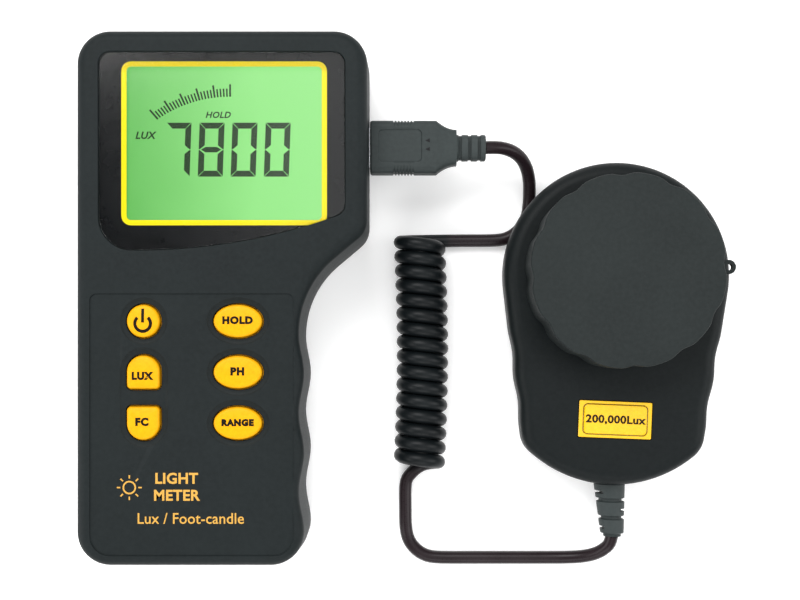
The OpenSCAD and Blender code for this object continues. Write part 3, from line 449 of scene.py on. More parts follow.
def display(name):
    """Backlit liquid crystal: a green glow that falls off to the left, with a fine haze."""
    n = Nodes(name)
    split = n.add("ShaderNodeSeparateXYZ", Vector=n.place())
    sway = n.math("MULTIPLY", n.math("SUBTRACT", n.noise(18.0, 2.0), 0.5), 0.012)
    across = n.spread(n.math("ADD", split.outputs["X"], sway), 0.0, 1.0, -0.026, 0.010)
    glow = n.mix(across, linear((98, 200, 82)), linear((146, 242, 128)))
    haze = n.noise(0.5, 2.0)
    shader = n.add("ShaderNodeBsdfPrincipled")
    n.set(shader.inputs["Base Color"], linear((24, 42, 20)))
    n.set(shader.inputs["Roughness"], n.spread(haze, 0.42, 0.5))
    n.set(shader.inputs["Emission Color"], glow)
    shader.inputs["Emission Strength"].default_value = 0.93
    return n.finish(shader.outputs[0])


def glossy_lens(name):
    """Hard-coated acrylic: clear, with its gloss laid over what is behind it and faint wipe marks."""
    n = Nodes(name)
    wiped = n.add("ShaderNodeMapping", Vector=n.place(), Scale=(1.0, 0.12, 1.0), Rotation=(0, 0, 0.5))
    marks = n.noise(1.2, 5.0, 0.6, wiped.outputs[0])
    clear = n.add("ShaderNodeBsdfTransparent", Color=(0.97, 0.975, 0.97))
    mirror = n.add("ShaderNodeBsdfGlossy")
    n.set(mirror.inputs["Roughness"], n.spread(marks, 0.13, 0.14))
    mixed = n.add("ShaderNodeMixShader")
    mixed.inputs[0].default_value = 0.042
    n.set(mixed.inputs[1], clear.outputs[0])
    n.set(mixed.inputs[2], mirror.outputs[0])
    return n.finish(mixed.outputs[0])


def glow_white(name, colour, rough=0.35):
    """Opal plastic that scatters light inside itself."""
    n = Nodes(name)
    base = linear(colour)
    cloud = n.noise(6.0, 3.0)
    fine = n.noise(0.3, 2.0)
    shader = n.add("ShaderNodeBsdfPrincipled")
    n.set(shader.inputs["Base Color"], n.mix(n.spread(cloud, 0, 1), [c * 0.96 for c in base], base))
    n.set(shader.inputs["Roughness"], n.spread(fine, rough - 0.04, rough + 0.05))
    shader.inputs["Subsurface Weight"].default_value = 0.25
    shader.inputs["Subsurface Scale"].default_value = 0.002
    n.set(shader.inputs["Normal"], n.bump(fine, 0.004))
    return n.finish(shader.outputs[0])


def ink(name, colour, rough=0.5, metallic=0.0, emission=0.0, film_mm=0.4):
    """Printed ink with a slightly uneven film, and when asked a painted glow of its own colour."""
    n = Nodes(name)
    base = linear(colour)
    film = n.noise(film_mm, 3.0)
    shader = n.add("ShaderNodeBsdfPrincipled", Metallic=metallic)
    shader.inputs["Specular IOR Level"].default_value = 0.12
    n.set(shader.inputs["Base Color"], n.mix(n.spread(film, 0, 1), [c * 0.96 for c in base], base))
    n.set(shader.inputs["Roughness"], n.spread(film, rough - 0.06, rough + 0.06))
    # painted glow: the ink gives off a little of its own colour, as if lit
    if emission:
        n.set(shader.inputs["Emission Color"], base)
        shader.inputs["Emission Strength"].default_value = emission
    return n.finish(shader.outputs[0])


MATS = {
    "case_plastic": moulded("case_plastic_look", (21, 27, 28), 0.56),
    "head_plastic": moulded("head_plastic_look", (10, 16, 17), 0.5),
    "cap_plastic": moulded("cap_plastic_look", (31, 36, 36), 0.6, bump_mm=0.014, edge_wear_and_highlight=0.0),
    "key_plastic": moulded("key_plastic_look", (224, 158, 0), 0.42, grain_mm=0.3, bump_mm=0.003, shade=0.02,
                           edge_wear_and_highlight=0.0),
    "key_rubber": moulded("key_rubber_look", (170, 172, 168), 0.62, shade=0.05),
    "lens": glossy_lens("lens_look"),
    "mask_print": ink("mask_print_look", (3, 5, 8), 0.3, film_mm=6.0),
    # the yellow border under the lens has a faint painted glow, standing in for the light the lens keeps from
    # it
    "border_print": ink("border_print_look", (226, 204, 6), 0.36, emission=0.12),
    "lcd": display("lcd_look"),
    "light_guide": glow_white("light_guide_look", (225, 235, 220)),
    "elastomer": moulded("elastomer_look", (200, 110, 140), 0.6, shade=0.05),
    "circuit_board": circuit("circuit_board_look"),
    "chip": moulded("chip_look", (26, 26, 27), 0.5, grain_mm=0.2),
    "components": moulded("components_look", (150, 135, 95), 0.45, grain_mm=0.4, shade=0.25, patch_mm=3.0),
    "screw_steel": metal("screw_steel_look", (150, 150, 152), 0.32),
    "plug_steel": metal("plug_steel_look", (196, 198, 202), 0.24, brushed=True),
    "contact_gold": metal("contact_gold_look", (222, 184, 100), 0.22),
    "white_plastic": moulded("white_plastic_look", (232, 232, 226), 0.45, shade=0.03),
    "battery_wrap": moulded("battery_wrap_look", (42, 45, 54), 0.3, grain_mm=0.8, shade=0.12,
                            Coat_Weight=0.4),
    "black_plastic": moulded("black_plastic_look", (18, 19, 21), 0.5),
    "wire": moulded("wire_look", (150, 30, 24), 0.42, grain_mm=0.3, shade=0.08),
    "foam": moulded("foam_look", (30, 30, 33), 0.9, grain_mm=0.5, bump_mm=0.06),
    "plug_rubber": moulded("plug_rubber_look", (48, 54, 54), 0.5, bump_mm=0.010),
    "coil_sheath": moulded("coil_sheath_look", (38, 42, 46), 0.40, grain_mm=0.4, bump_mm=0.006, shade=0.06),
    "cord_sheath": moulded("cord_sheath_look", (58, 48, 50), 0.34, grain_mm=0.4, bump_mm=0.005, shade=0.06),
    "diffuser_white": glow_white("diffuser_white_look", (240, 240, 235)),
    "filter": glow_white("filter_look", (120, 170, 120), 0.12),
    "silicon": ink("silicon_look", (48, 44, 66), 0.2, 0.3),
    "label_gold": moulded("label_gold_look", (228, 176, 4), 0.25, grain_mm=0.3, bump_mm=0.001, shade=0.04,
                          edge_wear_and_highlight=0.0, Coat_Weight=0.6, Coat_Roughness=0.08),
}
GOLD_INK = ink("gold_ink", (216, 165, 78), 0.42, 0.25)
KEY_INK = ink("key_ink", (18, 14, 6), 0.5)
LCD_INK = ink("segment_ink", (16, 48, 10), 0.55)
LABEL_INK = ink("label_ink", (38, 30, 14), 0.4)

for body_nodes in (frame["record"].get("behaviour") or {}).get("bodies", {}).values():
    for name in body_nodes:
        materials = nodes[name].data.materials
        for i, old in enumerate(materials):
            base = old.name.split(".")[0] if old else ""
            if base in MATS:
                materials[i] = MATS[base]


def paint(obj, material):
    obj.data.materials.clear()
    obj.data.materials.append(material)
    return obj


def finished(obj, body, slot_name, *replaced):
    """The piece in its slot's own material, on its body and in place of its CAD nodes."""
    return stand_for(paint(obj, MATS[slot_name]), body, slot_name, *replaced)


# --- the cord
UPPER = [[77.5, 46.2, 17], [80.4, 46.4, 16.7], [84.2, 46.2, 15.2], [88, 44.8, 12.5], [90.6, 41.9, 9.4],
         [91.9, 38, 6.4], [92.2, 33.8, 3.9], [92.1, 30, 2.5], [91.6, 27, 2], [90.1, 23.9, 2], [87.6, 21.4, 2],
         [84.6, 19.9, 2], [81, 19.5, 2], [74, 19.5, 2], [67, 19.5, 2], [61, 19.5, 2]]
LOWER = [[57.6, -51.0, 2], [54.9, -52.6, 2], [53.6, -55.4, 2], [53.3, -59, 2],
         [53.4, -64, 2], [53.4, -70, 2], [54.1, -74, 2], [56.3, -77.2, 2], [59.4, -79.3, 2], [63, -80, 2],
         [72, -80, 2], [81, -80, 2], [90, -80, 2], [98, -80, 2], [104, -79.9, 2.5], [109, -79.4, 4],
         [112.8, -78.2, 5.7], [115.5, -76.3, 7.1], [116.9, -74.4, 7.8], [117.2, -72.4, 8]]
CORD_R, COIL_X, COIL_Z, COIL_R, COIL_SWAY = 2.0, 57.65, 8.05, 5.95, 1.0
TURNS, COIL_TOP, COIL_END, COIL_STEPS = 16, 19.5, -50.6, 24
COIL_SWELL, EASE_STEPS = 0.06, 6


def coil_point(t):
    """Point on the coil's centreline at turn t: it starts low, goes up its left side and over its top."""
    a = math.tau * t
    x = COIL_X + COIL_SWAY * math.sin(math.pi * t / TURNS)
    return (x - COIL_R * math.sin(a), COIL_TOP + (COIL_END - COIL_TOP) * t / TURNS,
            COIL_Z - COIL_R * math.cos(a))


coil = [coil_point(i / COIL_STEPS) for i in range(1, TURNS * COIL_STEPS)]
route = [tuple(p) for p in UPPER[:-1]] + coil + [tuple(p) for p in LOWER]
wide = [1.0] * (len(UPPER) - 1) + [1 + COIL_SWELL] * len(coil) + [1.0] * len(LOWER)
for i in range(EASE_STEPS):  # the sheath eases in and out of its thicker coiled part
    wide[len(UPPER) - 1 + i] = wide[-len(LOWER) - 1 - i] = 1.0 + COIL_SWELL * i / EASE_STEPS


def smooth_route(points):
    """The route with its corners eased, its two ends kept."""
    for _ in range(3):
        points = [points[0]] + [tuple(0.25 * a + 0.5 * b + 0.25 * c for a, b, c in zip(p, q, r))
                                for p, q, r in zip(points, points[1:], points[2:])] + [points[-1]]
    return points


# ease only near the joins, so that the coil keeps its radius
start, stop = len(UPPER) - 3, len(UPPER) + 5
route[start:stop] = smooth_route(route[start:stop])
first = len(UPPER) - 1 + len(coil)
route[first - 6:first + 3] = smooth_route(route[first - 6:first + 3])
curve = bpy.data.curves.new("cord", "CURVE")
curve.dimensions, curve.use_fill_caps = "3D", True
curve.bevel_depth, curve.bevel_resolution = CORD_R * MM, 5
spline = curve.splines.new("NURBS")
spline.points.add(len(route) - 1)
for point, place, w in zip(spline.points, route, wide):
    point.co = (place[0] * MM, place[1] * MM, place[2] * MM, 1.0)
    point.radius = w
spline.order_u, spline.use_endpoint_u, spline.resolution_u = 3, True, 3
cord = bpy.data.objects.new("cord", curve)
scene.collection.objects.link(cord)


def cord_look():
    """Glossy brown-black sheath on the straight runs, blacker and duller where it is coiled."""
    n = Nodes("cord_look")
    split = n.add("ShaderNodeSeparateXYZ", Vector=n.place())
    inside = n.math("MULTIPLY", n.spread(split.outputs["Y"], 0, 1, -0.0535, -0.0505),
                    n.math("MULTIPLY", n.spread(split.outputs["Y"], 1, 0, 0.0215, 0.0225),
                           n.spread(split.outputs["X"], 1, 0, 0.066, 0.068)))
    drift = n.noise(9.0, 2.0)
    grain = n.noise(0.45, 2.0)
    straight = n.mix(n.spread(drift, 0, 1), linear((28, 20, 23)), linear((36, 28, 31)))
    coiled = n.mix(n.spread(drift, 0, 1), linear((9, 13, 15)), linear((14, 19, 21)))
    shader = n.add("ShaderNodeBsdfPrincipled")
    shader.inputs["Specular IOR Level"].default_value = 0.18
    n.set(shader.inputs["Base Color"], n.mix(inside, straight, coiled))
    duller = n.math("MULTIPLY", inside, 0.10)
    n.set(shader.inputs["Roughness"], n.math("ADD", n.spread(grain, 0.26, 0.34), duller))
    n.set(shader.inputs["Normal"], n.bump(grain, 0.004))
    return n.finish(shader.outputs[0])


paint(cord, cord_look())
stand_for(cord, "sensor", "cord_sheath", "cord_upper", "cord_coil", "cord_lower")


# --- meter case
DISH_DEPTH, PANEL_DEPTH, KEY_GAP = 0.8, 0.4, 0.25
LIP_T, LIP_H = 1.25, 1.35
BOSSES = ((-35.5, 71), (35.5, 71), (-35.5, -71), (17.1, -71))
POSTS = ((-36.8, 50), (36.8, 54), (-34.0, -48.25), (15.1, -48.25))


def recess(outline, floor, rim):
    """A pocket's solid from floor up through the face, with a softly rounded rim at the face."""
    over = 1.2
    return [(floor, outline(0.0)), (FACE_Z - rim, outline(0.0)), (FACE_Z - rim * 0.5, outline(rim * 0.13)),
            (FACE_Z - rim * 0.2, outline(rim * 0.4)), (FACE_Z, outline(rim)),
            (FACE_Z + over, outline(rim + over * 0.5))]


def panel_outline(grow=0.0):
    return box_outline(*PANEL, 5.8, 2.0, grow)


def collar_sections(outline):
    """A shallow dish round a key."""
    low = FACE_Z - DISH_DEPTH
    return [(low, outline(0.75)), (low + 0.04, outline(1.2)), (low + 0.14, outline(1.6)),
            (low + 0.32, outline(1.9)), (low + 0.42, outline(2.05)), (FACE_Z + 1, outline(2.2))]


def make_front():
    """The front shell: hollow, with its screw bosses, display opening, key panel, dishes and wells."""
    shell = solid("case_front", [(SPLIT_Z, case_outline(0.0))]
                  + [(z, case_outline(i)) for z, i in edge_rings(FACE_Z, EDGE_R, DRAFT)])
    combine(shell, [tool([(SPLIT_Z - 1, case_outline(WALL)), (CEILING_Z, case_outline(WALL))]),
                    tool([(SPLIT_Z - 1.5, case_outline(LIP_T)), (SPLIT_Z + LIP_H, case_outline(LIP_T))])],
            "DIFFERENCE")
    columns, holes = [], []
    standing = [(*b, SPLIT_Z + 0.1, 3.25, 1.25) for b in BOSSES] + [(*p, 25.6, 2.2, 0.9) for p in POSTS]
    for x, y, foot, r, hole_r in standing:
        columns.append([(foot, disc(x, y, r)), (CEILING_Z + 0.3, disc(x, y, r))])
        holes.append([(SPLIT_Z - 1, disc(x, y, hole_r)), (CEILING_Z - 0.5, disc(x, y, hole_r))])
    combine(shell, [tool(*columns)], "UNION")
    (x, high), (_, low) = key_pos("lux"), key_pos("fc")
    arches = (x - 6, low - 6.125, x + 6, high + 6.125)

    def stadium(grow):
        """The long dish that the two arched keys share."""
        return box_outline(*arches, 5.95, 5.95, grow - 1.0, 16)

    dishes = [collar_sections(stadium)]
    for key in ("power", "hold", "peak", "range"):
        x, y = key_pos(key)
        dishes.append(collar_sections(lambda g, s=KEYS[key][0], x=x, y=y: at(key_outline(s, g), x, y)))
    wells = []
    low = FACE_Z - DISH_DEPTH
    for key, (shape, *_) in KEYS.items():
        levels = ((CEILING_Z - 1, 0), (low - 0.15, 0), (low, 0.13), (FACE_Z + 2, 0.15))
        wells.append([(z, at(key_outline(shape, KEY_GAP + flare), *key_pos(key))) for z, flare in levels])
    cuts = [tool(recess(lambda g: lens_outline(0.15 + g), 32.15, 0.35)),
            tool([(CEILING_Z - 1, view_outline(-0.5)), (33.0, view_outline(-0.5))]),
            tool(recess(panel_outline, FACE_Z - PANEL_DEPTH, 0.28)),
            tool(*dishes), tool(*wells), tool(*holes),
            tool([(z, box_pts(28.15, 39.3, 44, 52.7)) for z in (14.0, 20.0)])]
    combine(shell, cuts, "DIFFERENCE")
    smooth(shell, 28)
    finished(shell, "meter", "case_plastic", "front_shell")


make_front()

finished(softened("rear_shell", "case_rear", 0.16), "meter", "case_plastic", "rear_shell")
finished(softened("battery_door", "battery_cover", 0.12), "door", "case_plastic", "battery_door")

# --- lens
lens_levels = ((32.35, -0.05), (32.45, 0.0), (33.65, 0.0), (33.78, -0.05), (33.85, -0.2))
lens = solid("lens_window", [(z, lens_outline(grow)) for z, grow in lens_levels], 50)
finished(lens, "meter", "lens", "display_window")


# --- keys
KEY_ROUND, KEY_DOME, KEY_SHRINK = 0.85, 0.33, 0.2


def key_sections(shape, x, y):
    """A key's crown: upright sides, a rounded edge and a slightly domed top."""
    def ring(z, grow, scale=1.0):
        return (z, [(x + a * scale, y + b * scale) for a, b in key_outline(shape, grow - KEY_SHRINK)])

    out = [ring(31.2, 0.0), ring(33.9, 0.0)]
    out += [ring(34.0 + KEY_ROUND * sind(a), -KEY_ROUND * (1 - cosd(a))) for a in range(10, 81, 10)]
    out += [ring(34.87 + KEY_DOME * (1 - s * s), -KEY_ROUND, s)
            for s in (0.97, 0.92, 0.84, 0.72, 0.58, 0.42, 0.25, 0.1)]
    return out


key_objects = {}
for key, (shape, *_) in KEYS.items():
    x, y = key_pos(key)
    bm = bmesh.new()
    loft(bm, layered(key_sections(shape, x, y)))
    prism(bm, at(key_outline(shape, 1.0), x, y), 30.3, 31.3)
    prism(bm, disc(x, y, 2.4), 29.0, 30.4)
    crown = new_object(f"{key}_key_cap", bm, 40)
    key_objects[key] = finished(crown, f"{key}_key", "key_plastic", f"{key}_button")


# --- printing
def lettering(name, text, size, x, y, z, bold=0.0, shear=0.0, spacing=1.0, wide_by=1.0):
    """Flat generic lettering as a thin mesh, its cap height about 0.73 of size, centred on x, y in mm."""
    data = bpy.data.curves.new(name, "FONT")
    data.body, data.size, data.offset, data.shear = text, size * MM, bold * MM, shear
    data.align_x, data.align_y, data.space_character = "CENTER", "CENTER", spacing
    data.resolution_u, data.extrude = 3, 0.012 * MM
    obj = bpy.data.objects.new(name, data)
    scene.collection.objects.link(obj)
    deps = bpy.context.evaluated_depsgraph_get()
    deps.update()
    mesh = bpy.data.meshes.new_from_object(obj.evaluated_get(deps), depsgraph=deps)
    bpy.data.objects.remove(obj)
    bpy.data.curves.remove(data)
    flat = bpy.data.objects.new(name, mesh)
    scene.collection.objects.link(flat)
    for v in mesh.vertices:
        v.co.x = v.co.x * wide_by + x * MM
        v.co.y += y * MM
        v.co.z += z * MM
    return flat


def polygons(name, shapes, z, thick=0.024):
    """Flat shapes as thin prisms in one mesh."""
    bm = bmesh.new()
    for pts in shapes:
        prism(bm, pts, z, z + thick)
    return new_object(name, bm, 30, False)


def join(name, objects):
    """One object from several, which are used up."""
    bm = bmesh.new()
    for o in objects:
        bm.from_mesh(o.data)
        mesh = o.data
        bpy.data.objects.remove(o)
        bpy.data.meshes.remove(mesh)
    mesh = bpy.data.meshes.new(name)
    bm.to_mesh(mesh)
    bm.free()
    obj = bpy.data.objects.new(name, mesh)
    scene.collection.objects.link(obj)
    return obj


def lay_on(obj, target, lift=0.012):
    """Drops the print's points onto the surface below them, keeping its own thickness."""
    tree = BVHTree.FromPolygons([v.co for v in target.data.vertices],
                                [tuple(p.vertices) for p in target.data.polygons])
    base = min(v.co.z for v in obj.data.vertices)
    for v in obj.data.vertices:
        hit = tree.ray_cast(Vector((v.co.x, v.co.y, 0.1)), Vector((0, 0, -1)))
        if hit[0] is not None:
            v.co.z = hit[0].z + (v.co.z - base) + lift * MM


def ring_shape(cx, cy, r0, r1, a0, a1):
    """Part of a flat ring between radii r0 and r1."""
    return arc(cx, cy, r1, a0, a1, 1, 0, 40) + arc(cx, cy, r0, a1, a0, 1, 0, 40)


# key: its word, size, width and shift from the key's centre
LEGENDS = {"hold": ("HOLD", 2.75, 1.05, 0, 0.1), "peak": ("PH", 2.95, 1.04, 0, 0.1),
           "range": ("RANGE", 2.45, 1.04, 0, 0.1), "lux": ("LUX", 2.85, 1.0, -0.25, -1.2),
           "fc": ("FC", 2.95, 1.02, -0.25, 0.3)}
KEY_TOP = 35.2
for key, (text, size, wide_by, dx, dy) in LEGENDS.items():
    x, y = key_pos(key)
    legend = lettering(f"{key}_legend", text, size, x + dx, y + dy, KEY_TOP, 0.19, 0, 1.16, wide_by)
    lay_on(legend, key_objects[key])
    stand_for(paint(legend, KEY_INK), f"{key}_key", "")
x, y = key_pos("power")
STEM_W, STEM_STEP = 0.42, 0.4  # the stem is in short lengths so that it follows the key's dome
stem = [box_pts(x - STEM_W, y - 0.45 + STEM_STEP * i, x + STEM_W, y - 0.05 + STEM_STEP * i)
        for i in range(10)]
symbol = polygons("power_symbol", [ring_shape(x, y - 0.72, 1.8, 2.72, 132, 408)] + stem, KEY_TOP)
lay_on(symbol, key_objects["power"])
stand_for(paint(symbol, KEY_INK), "power_key", "")

PANEL_Z = FACE_Z - PANEL_DEPTH + 0.012
gold = [lettering("words", "LIGHT", 4.3, -13.0, -52.4, PANEL_Z, 0.12, 0, 1.05),
        lettering("words", "METER", 4.3, -13.0, -57.3, PANEL_Z, 0.12, 0, 1.05),
        lettering("words", "Lux / Foot-candle", 4.45, -8.9, -64.0, PANEL_Z, 0.03, 0, 1.02, 0.96)]
SUN_X, SUN_Y, RAY_IN, RAY_OUT, RAY_W = -26.6, -54.9, 2.6, 3.6, 0.2
sun = [ring_shape(SUN_X, SUN_Y, 1.5, 1.95, 0, 359.9)]
for i in range(8):
    c, s = cosd(45 * i), sind(45 * i)
    sun.append([(SUN_X + r * c - w * s, SUN_Y + r * s + w * c) for r, w in
                ((RAY_IN, -RAY_W), (RAY_OUT, -RAY_W), (RAY_OUT, RAY_W), (RAY_IN, RAY_W))])
gold.append(polygons("rays", sun, PANEL_Z))
gold = join("face_print", gold)
stand_for(paint(gold, GOLD_INK), "meter", "")

# --- what the display shows
LCD_TOP = 31.01
DIGITS_Y, DIGIT_W, DIGIT_H, BAR_T, BAR_GAP, DIGIT_LEAN = 43.275, 7.283, 15.701, 1.719, 0.131, 0.036
DIGITS = ((-13.231, "abc"), (-3.589, "abcdefg"), (5.995, "abcdef"), (15.666, "abcdef"))
SCALE_X, SCALE_Y, SCALE_R, SCALE_SPAN, SCALE_LEAN, SCALE_STEPS = 2.208, 21.559, 37.141, 34.5, 41.5, 25


def wound(pts):
    """The outline in the order that runs anticlockwise."""
    area = sum(a[0] * b[1] - b[0] * a[1] for a, b in zip(pts, pts[1:] + pts[:1]))
    return pts if area > 0 else list(reversed(pts))


def segment(centre_x, which):
    """One of the seven bevelled bars of a slightly leaning digit."""
    w, h, t, gap = DIGIT_W / 2, DIGIT_H / 2, BAR_T, BAR_GAP
    tip, middle_tip, bevel, half = 0.35, 0.641, 0.291, t * 0.46
    top = [(gap - w, h), (w - gap, h), (w - t - gap * 0.4, h - t), (t + gap * 0.4 - w, h - t)]
    upright = [(w, h - gap), (w, gap), (w - tip, gap), (w - t, t * 0.75), (w - t, h - t - gap * 0.8)]
    middle = [(middle_tip - w, 0), (t + bevel - w, half), (w - t - bevel, half), (w - middle_tip, 0),
              (w - t - bevel, -half), (t + bevel - w, -half)]
    side_x, side_y, pts = {"a": (1, 1, top), "b": (1, 1, upright), "c": (1, -1, upright), "d": (1, -1, top),
                           "e": (-1, -1, upright), "f": (-1, 1, upright), "g": (1, 1, middle)}[which]
    return wound([(centre_x + x * side_x + (y * side_y + h) * DIGIT_LEAN, DIGITS_Y + y * side_y)
                  for x, y in pts])


def tick(i):
    """A mark of the fan-shaped scale; every fifth is longer and bolder."""
    reach, half = (3.612, 0.277) if i % 5 == 0 else (2.389, 0.233)
    left = 1 - i / SCALE_STEPS
    x, y = SCALE_X - SCALE_R * sind(SCALE_SPAN * left), SCALE_Y + SCALE_R * cosd(SCALE_SPAN * left)
    c, s = cosd(SCALE_LEAN * left), sind(SCALE_LEAN * left)
    return wound([(x + side * c * half - r * s, y + side * s * half + r * c)
                  for side, r in ((-1, 0), (1, 0), (1, reach), (-1, reach))])


marks = [segment(centre_x, which) for centre_x, lit in DIGITS for which in lit]
marks += [tick(i) for i in range(SCALE_STEPS + 1)]
shown = [polygons("segments", marks, LCD_TOP, 0.02),
         lettering("segments", "HOLD", 2.5, -1.375, 53.31, LCD_TOP, 0.07, 0.25, 1.08),
         lettering("segments", "LUX", 2.9, -22.64, 47.339, LCD_TOP, 0.09, 0.25, 1.05)]
segments = join("display_segments", shown)
stand_for(paint(segments, LCD_INK), "meter", "")


# --- plug
PLUG_X0, PLUG_END, PLUG_W, PLUG_H, PLUG_R = 42.7, 62.6, 15.9, 8, 2
TAPER_L, TAPER_STEPS, NECK_W, NECK_H = 6.1, 12, 10.6, 7.2
SLEEVE = (7.8, 6.8, 2.6)
SLOTS, SLOT, SLOT_L = (69.3, 72.15, 75.0), (7.3, 4.6, 1.8), 1.0
RIDGES, RIDGE_X0, RIDGE_PITCH, RIDGE_DEPTH = 7, 49.9, 0.95, 0.42


def plug_ring(x, w, h, r):
    """The plug's rounded section at x."""
    pts = box_outline(-w / 2, -h / 2, w / 2, h / 2, r, r, 0, 6)
    return [(x, PORT_Y + a, PORT_Z + b) for a, b in pts]


def make_plug():
    """The moulded grip: ridged edges, a taper, a slotted sleeve and a framed panel on each broad face."""
    rings = [plug_ring(PLUG_X0, PLUG_W - 1, PLUG_H - 1, 1.5),
             plug_ring(PLUG_X0 + 0.2, PLUG_W - 0.4, PLUG_H - 0.4, 1.8),
             plug_ring(PLUG_X0 + 0.6, PLUG_W, PLUG_H, PLUG_R)]
    for i in range(RIDGES):
        for dx, cut in ((-0.26, 0.0), (-0.16, RIDGE_DEPTH), (0.16, RIDGE_DEPTH), (0.26, 0.0)):
            rings.append(plug_ring(RIDGE_X0 + RIDGE_PITCH * i + dx, PLUG_W - 2 * cut, PLUG_H,
                                   1.9 if cut else PLUG_R))
    rings.append(plug_ring(PLUG_END, PLUG_W, PLUG_H, PLUG_R))
    for i in range(1, TAPER_STEPS + 1):
        s = 1 - (1 - i / TAPER_STEPS) ** 2
        rings.append(plug_ring(PLUG_END + TAPER_L * i / TAPER_STEPS, PLUG_W + (NECK_W - PLUG_W) * s,
                               PLUG_H + (NECK_H - PLUG_H) * s, PLUG_R))
    rings += [plug_ring(68.72, 8.2, 6.9, 2.6), plug_ring(68.8, *SLEEVE)]
    for x in SLOTS:
        rings += [plug_ring(x, *SLEEVE), plug_ring(x + 0.02, *SLOT), plug_ring(x + SLOT_L - 0.02, *SLOT),
                  plug_ring(x + SLOT_L, *SLEEVE)]
    rings += [plug_ring(77.2, *SLEEVE), plug_ring(77.5, 7.2, 6.2, 2.4)]
    bm = bmesh.new()
    loft(bm, rings)
    bridge = box_pts(69.0, PORT_Y - 0.7, 76.5, PORT_Y + 0.7)
    for side in (1, -1):  # a bridge down the middle of the slots
        prism(bm, bridge, *sorted((PORT_Z + side * 2.0, PORT_Z + side * 3.1)))
    plug = new_object("plug_grip", bm, 35)
    panel = []
    for side in (1, -1):
        face = PORT_Z + side * PLUG_H / 2
        levels = [(face + side * rise, box_outline(45.4, 41.5, 58.1, 50.9, 1.2, 1.2, grow, 6))
                  for rise, grow in ((-0.3, 0), (-0.2, 0), (0.02, 0.25), (1, 0.25))]
        panel.append(levels if side > 0 else list(reversed(levels)))
    combine(plug, [tool(*panel)], "DIFFERENCE")
    smooth(plug, 30)
    return finished(plug, "sensor", "plug_rubber", "plug_overmold")


plug = make_plug()
bm = bmesh.new()
for y in (47.7, 45.1):  # two small raised arrows that show which way the plug goes in
    prism(bm, [(59.3, y), (60.6, y + 0.6), (60.6, y - 0.6)], 20.9, 21.12)
# the arrows are painted dark plastic: painted shade, standing in for the shadow that darkens them
arrows = finished(new_object("plug_arrows", bm, 30, False), "sensor", "black_plastic")


# --- sensor head
def label_pts(grow=0.0, inset_x=0.0, inset_y=0.0, r=0.4):
    """The range label's outline, set slightly askew."""
    x, y = LABEL_W / 2 - inset_x, LABEL_H / 2 - inset_y
    c, s = cosd(LABEL_TURN), sind(LABEL_TURN)
    return [(a * c + b * s, b * c - a * s + LABEL_Y) for a, b in box_outline(-x, -y, x, y, r, r, grow, 8)]


def relief_hole():
    """The hole in the tail that the cord's sleeve stands in."""
    bm = bmesh.new()
    r = 4.38
    loft(bm, [[(SLEEVE_X + r * cosd(a), y, SLEEVE_Z + r * sind(a)) for a in range(0, 360, 8)]
              for y in (-68.0, -53.6)])
    return bm


def make_head():
    """The head's front shell: hollow, with its screw bosses, round throat, label bed and cord hole."""
    front = solid("head_front", [(HEAD_SPLIT, head_outline(0.0))]
                  + [(z, head_outline(i)) for z, i in edge_rings(HEAD_H, 4.0, 0.0, 12)])
    combine(front, [tool([(HEAD_SPLIT - 1, head_outline(2.2)), (16.8, head_outline(2.2))])], "DIFFERENCE")
    screws = [(19, 13.5), (-19, 13.5), (16, -42), (-16, -42)]
    combine(front, [tool(*[[(9.1, disc(x, y, 3)), (17.0, disc(x, y, 3))] for x, y in screws])], "UNION")
    throat = ((15.0, 20), (HEAD_H - 0.2, 20), (HEAD_H, 20.25), (HEAD_H + 1, 20.6))
    combine(front, [tool([(z, disc(0, 0, r, 96)) for z, r in throat]),
                    tool([(HEAD_H - 0.3, label_pts(0.15)), (HEAD_H - 0.12, label_pts(0.15)),
                          (HEAD_H, label_pts(0.35)), (HEAD_H + 1, label_pts(0.5))]),
                    tool(*[[(8.0, disc(x, y, 1)), (15.8, disc(x, y, 1))] for x, y in screws]), relief_hole()],
            "DIFFERENCE")
    in_head(front)
    smooth(front, 30)
    finished(front, "sensor", "head_plastic", "sensor_front_shell")


make_head()
finished(softened("sensor_rear_shell", "head_rear", 0.14), "sensor", "head_plastic", "sensor_rear_shell")


def revolved(name, profile):
    """A solid of revolution about the head's own axis from (radius, z) points round its section."""
    bm = bmesh.new()
    steps = 96
    rows = [[bm.verts.new(Vector((r * cosd(360 * i / steps), r * sind(360 * i / steps), z)) * MM)
             for r, z in profile] for i in range(steps)]
    n = len(profile)
    for a, b in zip(rows, rows[1:] + rows[:1]):
        for i in range(n):
            bm.faces.new((a[i], b[i], b[(i + 1) % n], a[(i + 1) % n]))
    return in_head(new_object(name, bm))


ring = revolved("dome_ring", [(17.5, 16.8), (17.5, 19.6), (21.15, 19.6), (21.15, 22.2), (21.35, 22.4),
                              (25.2, 22.4), (25.65, 22.0), (25.65, 19.0), (19.92, 19.0), (19.92, 16.8)])
finished(ring, "sensor", "black_plastic", "diffuser_ring")
DOME_R, DOME_RISE, DOME_TOP, DOME_T, DOME_STEPS, DOME_FOOT = 21.0, 8.8, 29.8, 1.6, 22, 19.6
sphere_r = (DOME_R ** 2 + DOME_RISE ** 2) / (2 * DOME_RISE)


def dome_arc(r, foot_r, steps):
    """Points on a sphere of radius r about the dome's centre, from the axis towards radius foot_r."""
    angles = [math.asin(foot_r / r) * i / DOME_STEPS for i in steps]
    return [(r * math.sin(a), DOME_TOP - sphere_r + r * math.cos(a)) for a in angles]


